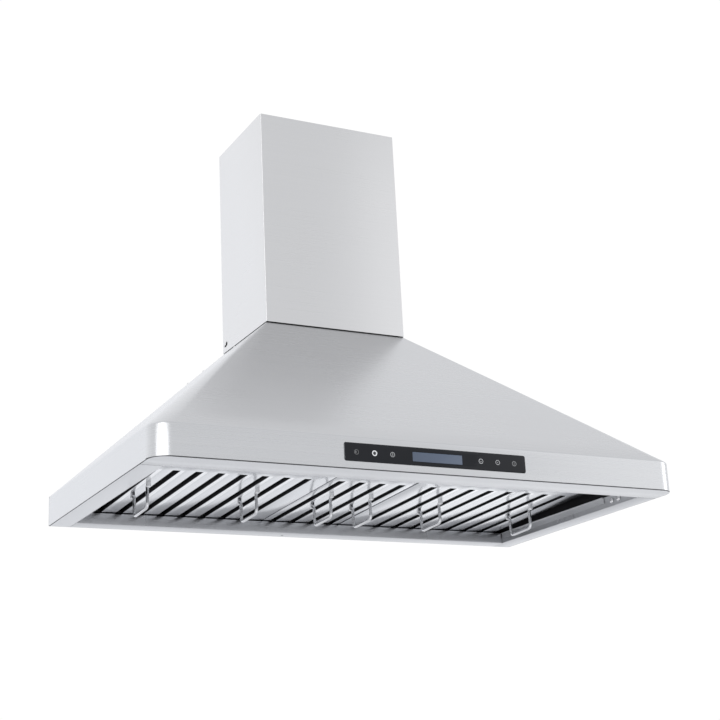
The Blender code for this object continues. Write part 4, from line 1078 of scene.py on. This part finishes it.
# ---- cable gland ----
# Black nylon gland with a domed nut over a hexagon, clamped through the top plate by its lock nut.
gland_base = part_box("top_plate")[1].z
gland = lathe("cable_gland_domed", mould([(4.0, 19.2), (4.8, 20), (7.4, 20), (8.8, 19.2), (10.4, 16.5), (11, 14.5),
                                          (11, 9.2), (10.5, 8.8), (10.5, 8.2), (11, 7.8), (11, 2.2), (10.6, 1.8),
                                          (8.0, 1.8), (8.0, -1.8), (11.6, -1.8), (12, -2.2), (12, -7.6), (11.6, -8),
                                          (4.4, -8), (4.0, -7.6)]), (gland_at.x, gland_at.y, gland_base), steps=48)
finish_piece(gland, black_nylon, "hood", "black_plastic", "cable_gland", angle=25)

# ---- lamps ----
# Recessed lamps in the shelf: a spun steel can with a bright bezel, and a prismatic frosted lens held in it.
bezel_steel = brushed_steel("steel_lamp_bezels", (500, 500, 500), (0.50, 0.505, 0.515), 0.20, 0.8)
lens_material = bpy.data.materials.new("prismatic_lens")
lens_material.use_nodes = True
nodes, links = lens_material.node_tree.nodes, lens_material.node_tree.links
nodes["Principled BSDF"].inputs["Roughness"].default_value = 0.32
nodes["Principled BSDF"].inputs["Coat Weight"].default_value = 0.3
place = nodes.new("ShaderNodeTexCoord")
prisms = nodes.new("ShaderNodeTexVoronoi")
prisms.inputs["Scale"].default_value = 420.0
links.new(place.outputs["Object"], prisms.inputs["Vector"])
milk = nodes.new("ShaderNodeValToRGB")
milk.color_ramp.elements[0].color = (0.86, 0.86, 0.82, 1)
milk.color_ramp.elements[1].color = (0.66, 0.67, 0.66, 1)
links.new(prisms.outputs["Distance"], milk.inputs["Fac"])
links.new(milk.outputs["Color"], nodes["Principled BSDF"].inputs["Base Color"])
facets = nodes.new("ShaderNodeBump")
facets.inputs["Strength"].default_value = 0.5
facets.inputs["Distance"].default_value = 0.0006
links.new(prisms.outputs["Distance"], facets.inputs["Height"])
links.new(facets.outputs["Normal"], nodes["Principled BSDF"].inputs["Normal"])
for tag, at in lamp_places:
    low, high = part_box(f"lamp_body_{tag}")
    rim = (high.x - low.x) / 2
    can = rim - 4.6 * MM
    profile = [(0, 26 * MM), (can - 6.6 * MM, 26 * MM), (can - 5.4 * MM, 25.4 * MM), (can - 0.4 * MM, 20.6 * MM),
               (can, 19.4 * MM), (can, -0.3 * MM), (rim, -0.3 * MM), (rim, -2.2 * MM), (rim - 0.5 * MM, -3.4 * MM),
               (rim - 1.7 * MM, -4.6 * MM), (rim - 3 * MM, -5 * MM), (rim - 6.4 * MM, -5 * MM),
               (rim - 7 * MM, -4.4 * MM), (rim - 7 * MM, 2 * MM), (0, 2 * MM)]
    body = lathe(f"lamp_{tag}_can", profile, at, steps=72)
    finish_piece(body, bezel_steel, "hood", "plain_steel", f"lamp_body_{tag}", angle=25)
    face = rim - 7.3 * MM
    profile = [(0, 1.2 * MM), (face, 1.2 * MM), (face, -3.4 * MM), (face - 0.5 * MM, -3.9 * MM),
               (face - 2 * MM, -4.15 * MM), (face * 0.5, -4.35 * MM), (0, -4.4 * MM)]
    lens = lathe(f"lamp_{tag}_lens", profile, at, steps=72)
    finish_piece(lens, lens_material, "hood", "lamp_lens", f"lamp_lens_{tag}", angle=25)

# ---- blower ----
# Hidden above the filters: a galvanised scroll housing, a moulded double-inlet wheel on the motor's shaft, a
# painted motor on a bracket, and a moulded guard over the open inlet.  With them come the mains box and its
# lid, the lamp driver, the run capacitor and the case behind the control glass.


def worked_copy(node, name, width):
    """A copy of a CAD piece with its doubles merged and its edges dressed."""
    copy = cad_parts[node].copy()
    copy.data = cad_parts[node].data.copy()
    copy.parent = None
    copy.matrix_world = Matrix.Identity(4)
    copy.name = name
    for key in list(copy.keys()):
        del copy[key]
    scene.collection.objects.link(copy)
    edit(copy)
    bpy.ops.mesh.select_all(action="SELECT")
    bpy.ops.mesh.remove_doubles(threshold=MERGE)
    bpy.ops.mesh.tris_convert_to_quads(face_threshold=radians(8), shape_threshold=radians(60))
    done()
    if width:
        soften(copy, width, angle=35)
    return copy


wheel_grey = plain_material("grey_moulded_wheel", (0.33, 0.34, 0.35), 0.45, mottle=0.1, scale=160, bump=0.15)
motor_enamel = plain_material("motor_enamel", (0.045, 0.05, 0.055), 0.38, mottle=0.3, scale=120, bump=0.3)
box_grey = plain_material("grey_box_plastic", (0.36, 0.37, 0.38), 0.5, mottle=0.08, scale=240, bump=0.3)
case_black = plain_material("black_case_plastic", (0.03, 0.03, 0.032), 0.48, mottle=0.2, scale=240, bump=0.35)
for node, name, width, material, body, finish in (
        ("blower_housing", "scroll_housing", 0.25, galvanised, "hood", "galvanised_steel"),
        ("blower_wheel", "double_inlet_wheel", 0, wheel_grey, "blower_rotor", "grey_plastic"),
        ("motor_shaft", "ground_motor_shaft", 0.4, screw_steel, "blower_rotor", "chrome_wire"),
        ("blower_motor", "enamelled_motor", 0.8, motor_enamel, "hood", "motor_paint"),
        ("motor_bracket", "motor_strap", 0.4, galvanised, "hood", "galvanised_steel"),
        ("inlet_guard", "moulded_inlet_guard", 0.3, black_nylon, "hood", "black_plastic"),
        ("power_box", "mains_box", 0.7, box_grey, "hood", "grey_plastic"),
        ("power_box_cover", "mains_box_lid", 0.6, box_grey, "hood", "grey_plastic"),
        ("lamp_driver", "lamp_driver_case", 1.6, case_black, "hood", "black_plastic"),
        ("run_capacitor", "capacitor_can", 1.2, box_grey, "hood", "grey_plastic"),
        ("control_box", "control_rear_case", 1.0, case_black, "hood", "black_plastic")):
    copy = worked_copy(node, name, width * MM)
    finish_piece(copy, material, body, finish, node)

# ---- back panel ----
# One mill-finish sheet closes the rear and carries the load on two keyholes; two more holes take the lower
# screws.
rear_steel = brushed_steel("steel_mill_rear", (260, 3, 4), (0.44, 0.45, 0.46), 0.42, 0.7, 1.6)
back = worked_copy("back_panel", "back_panel_sheet", 0.25 * MM)
finish_piece(back, rear_steel, "hood", "plain_steel", "back_panel", angle=25)
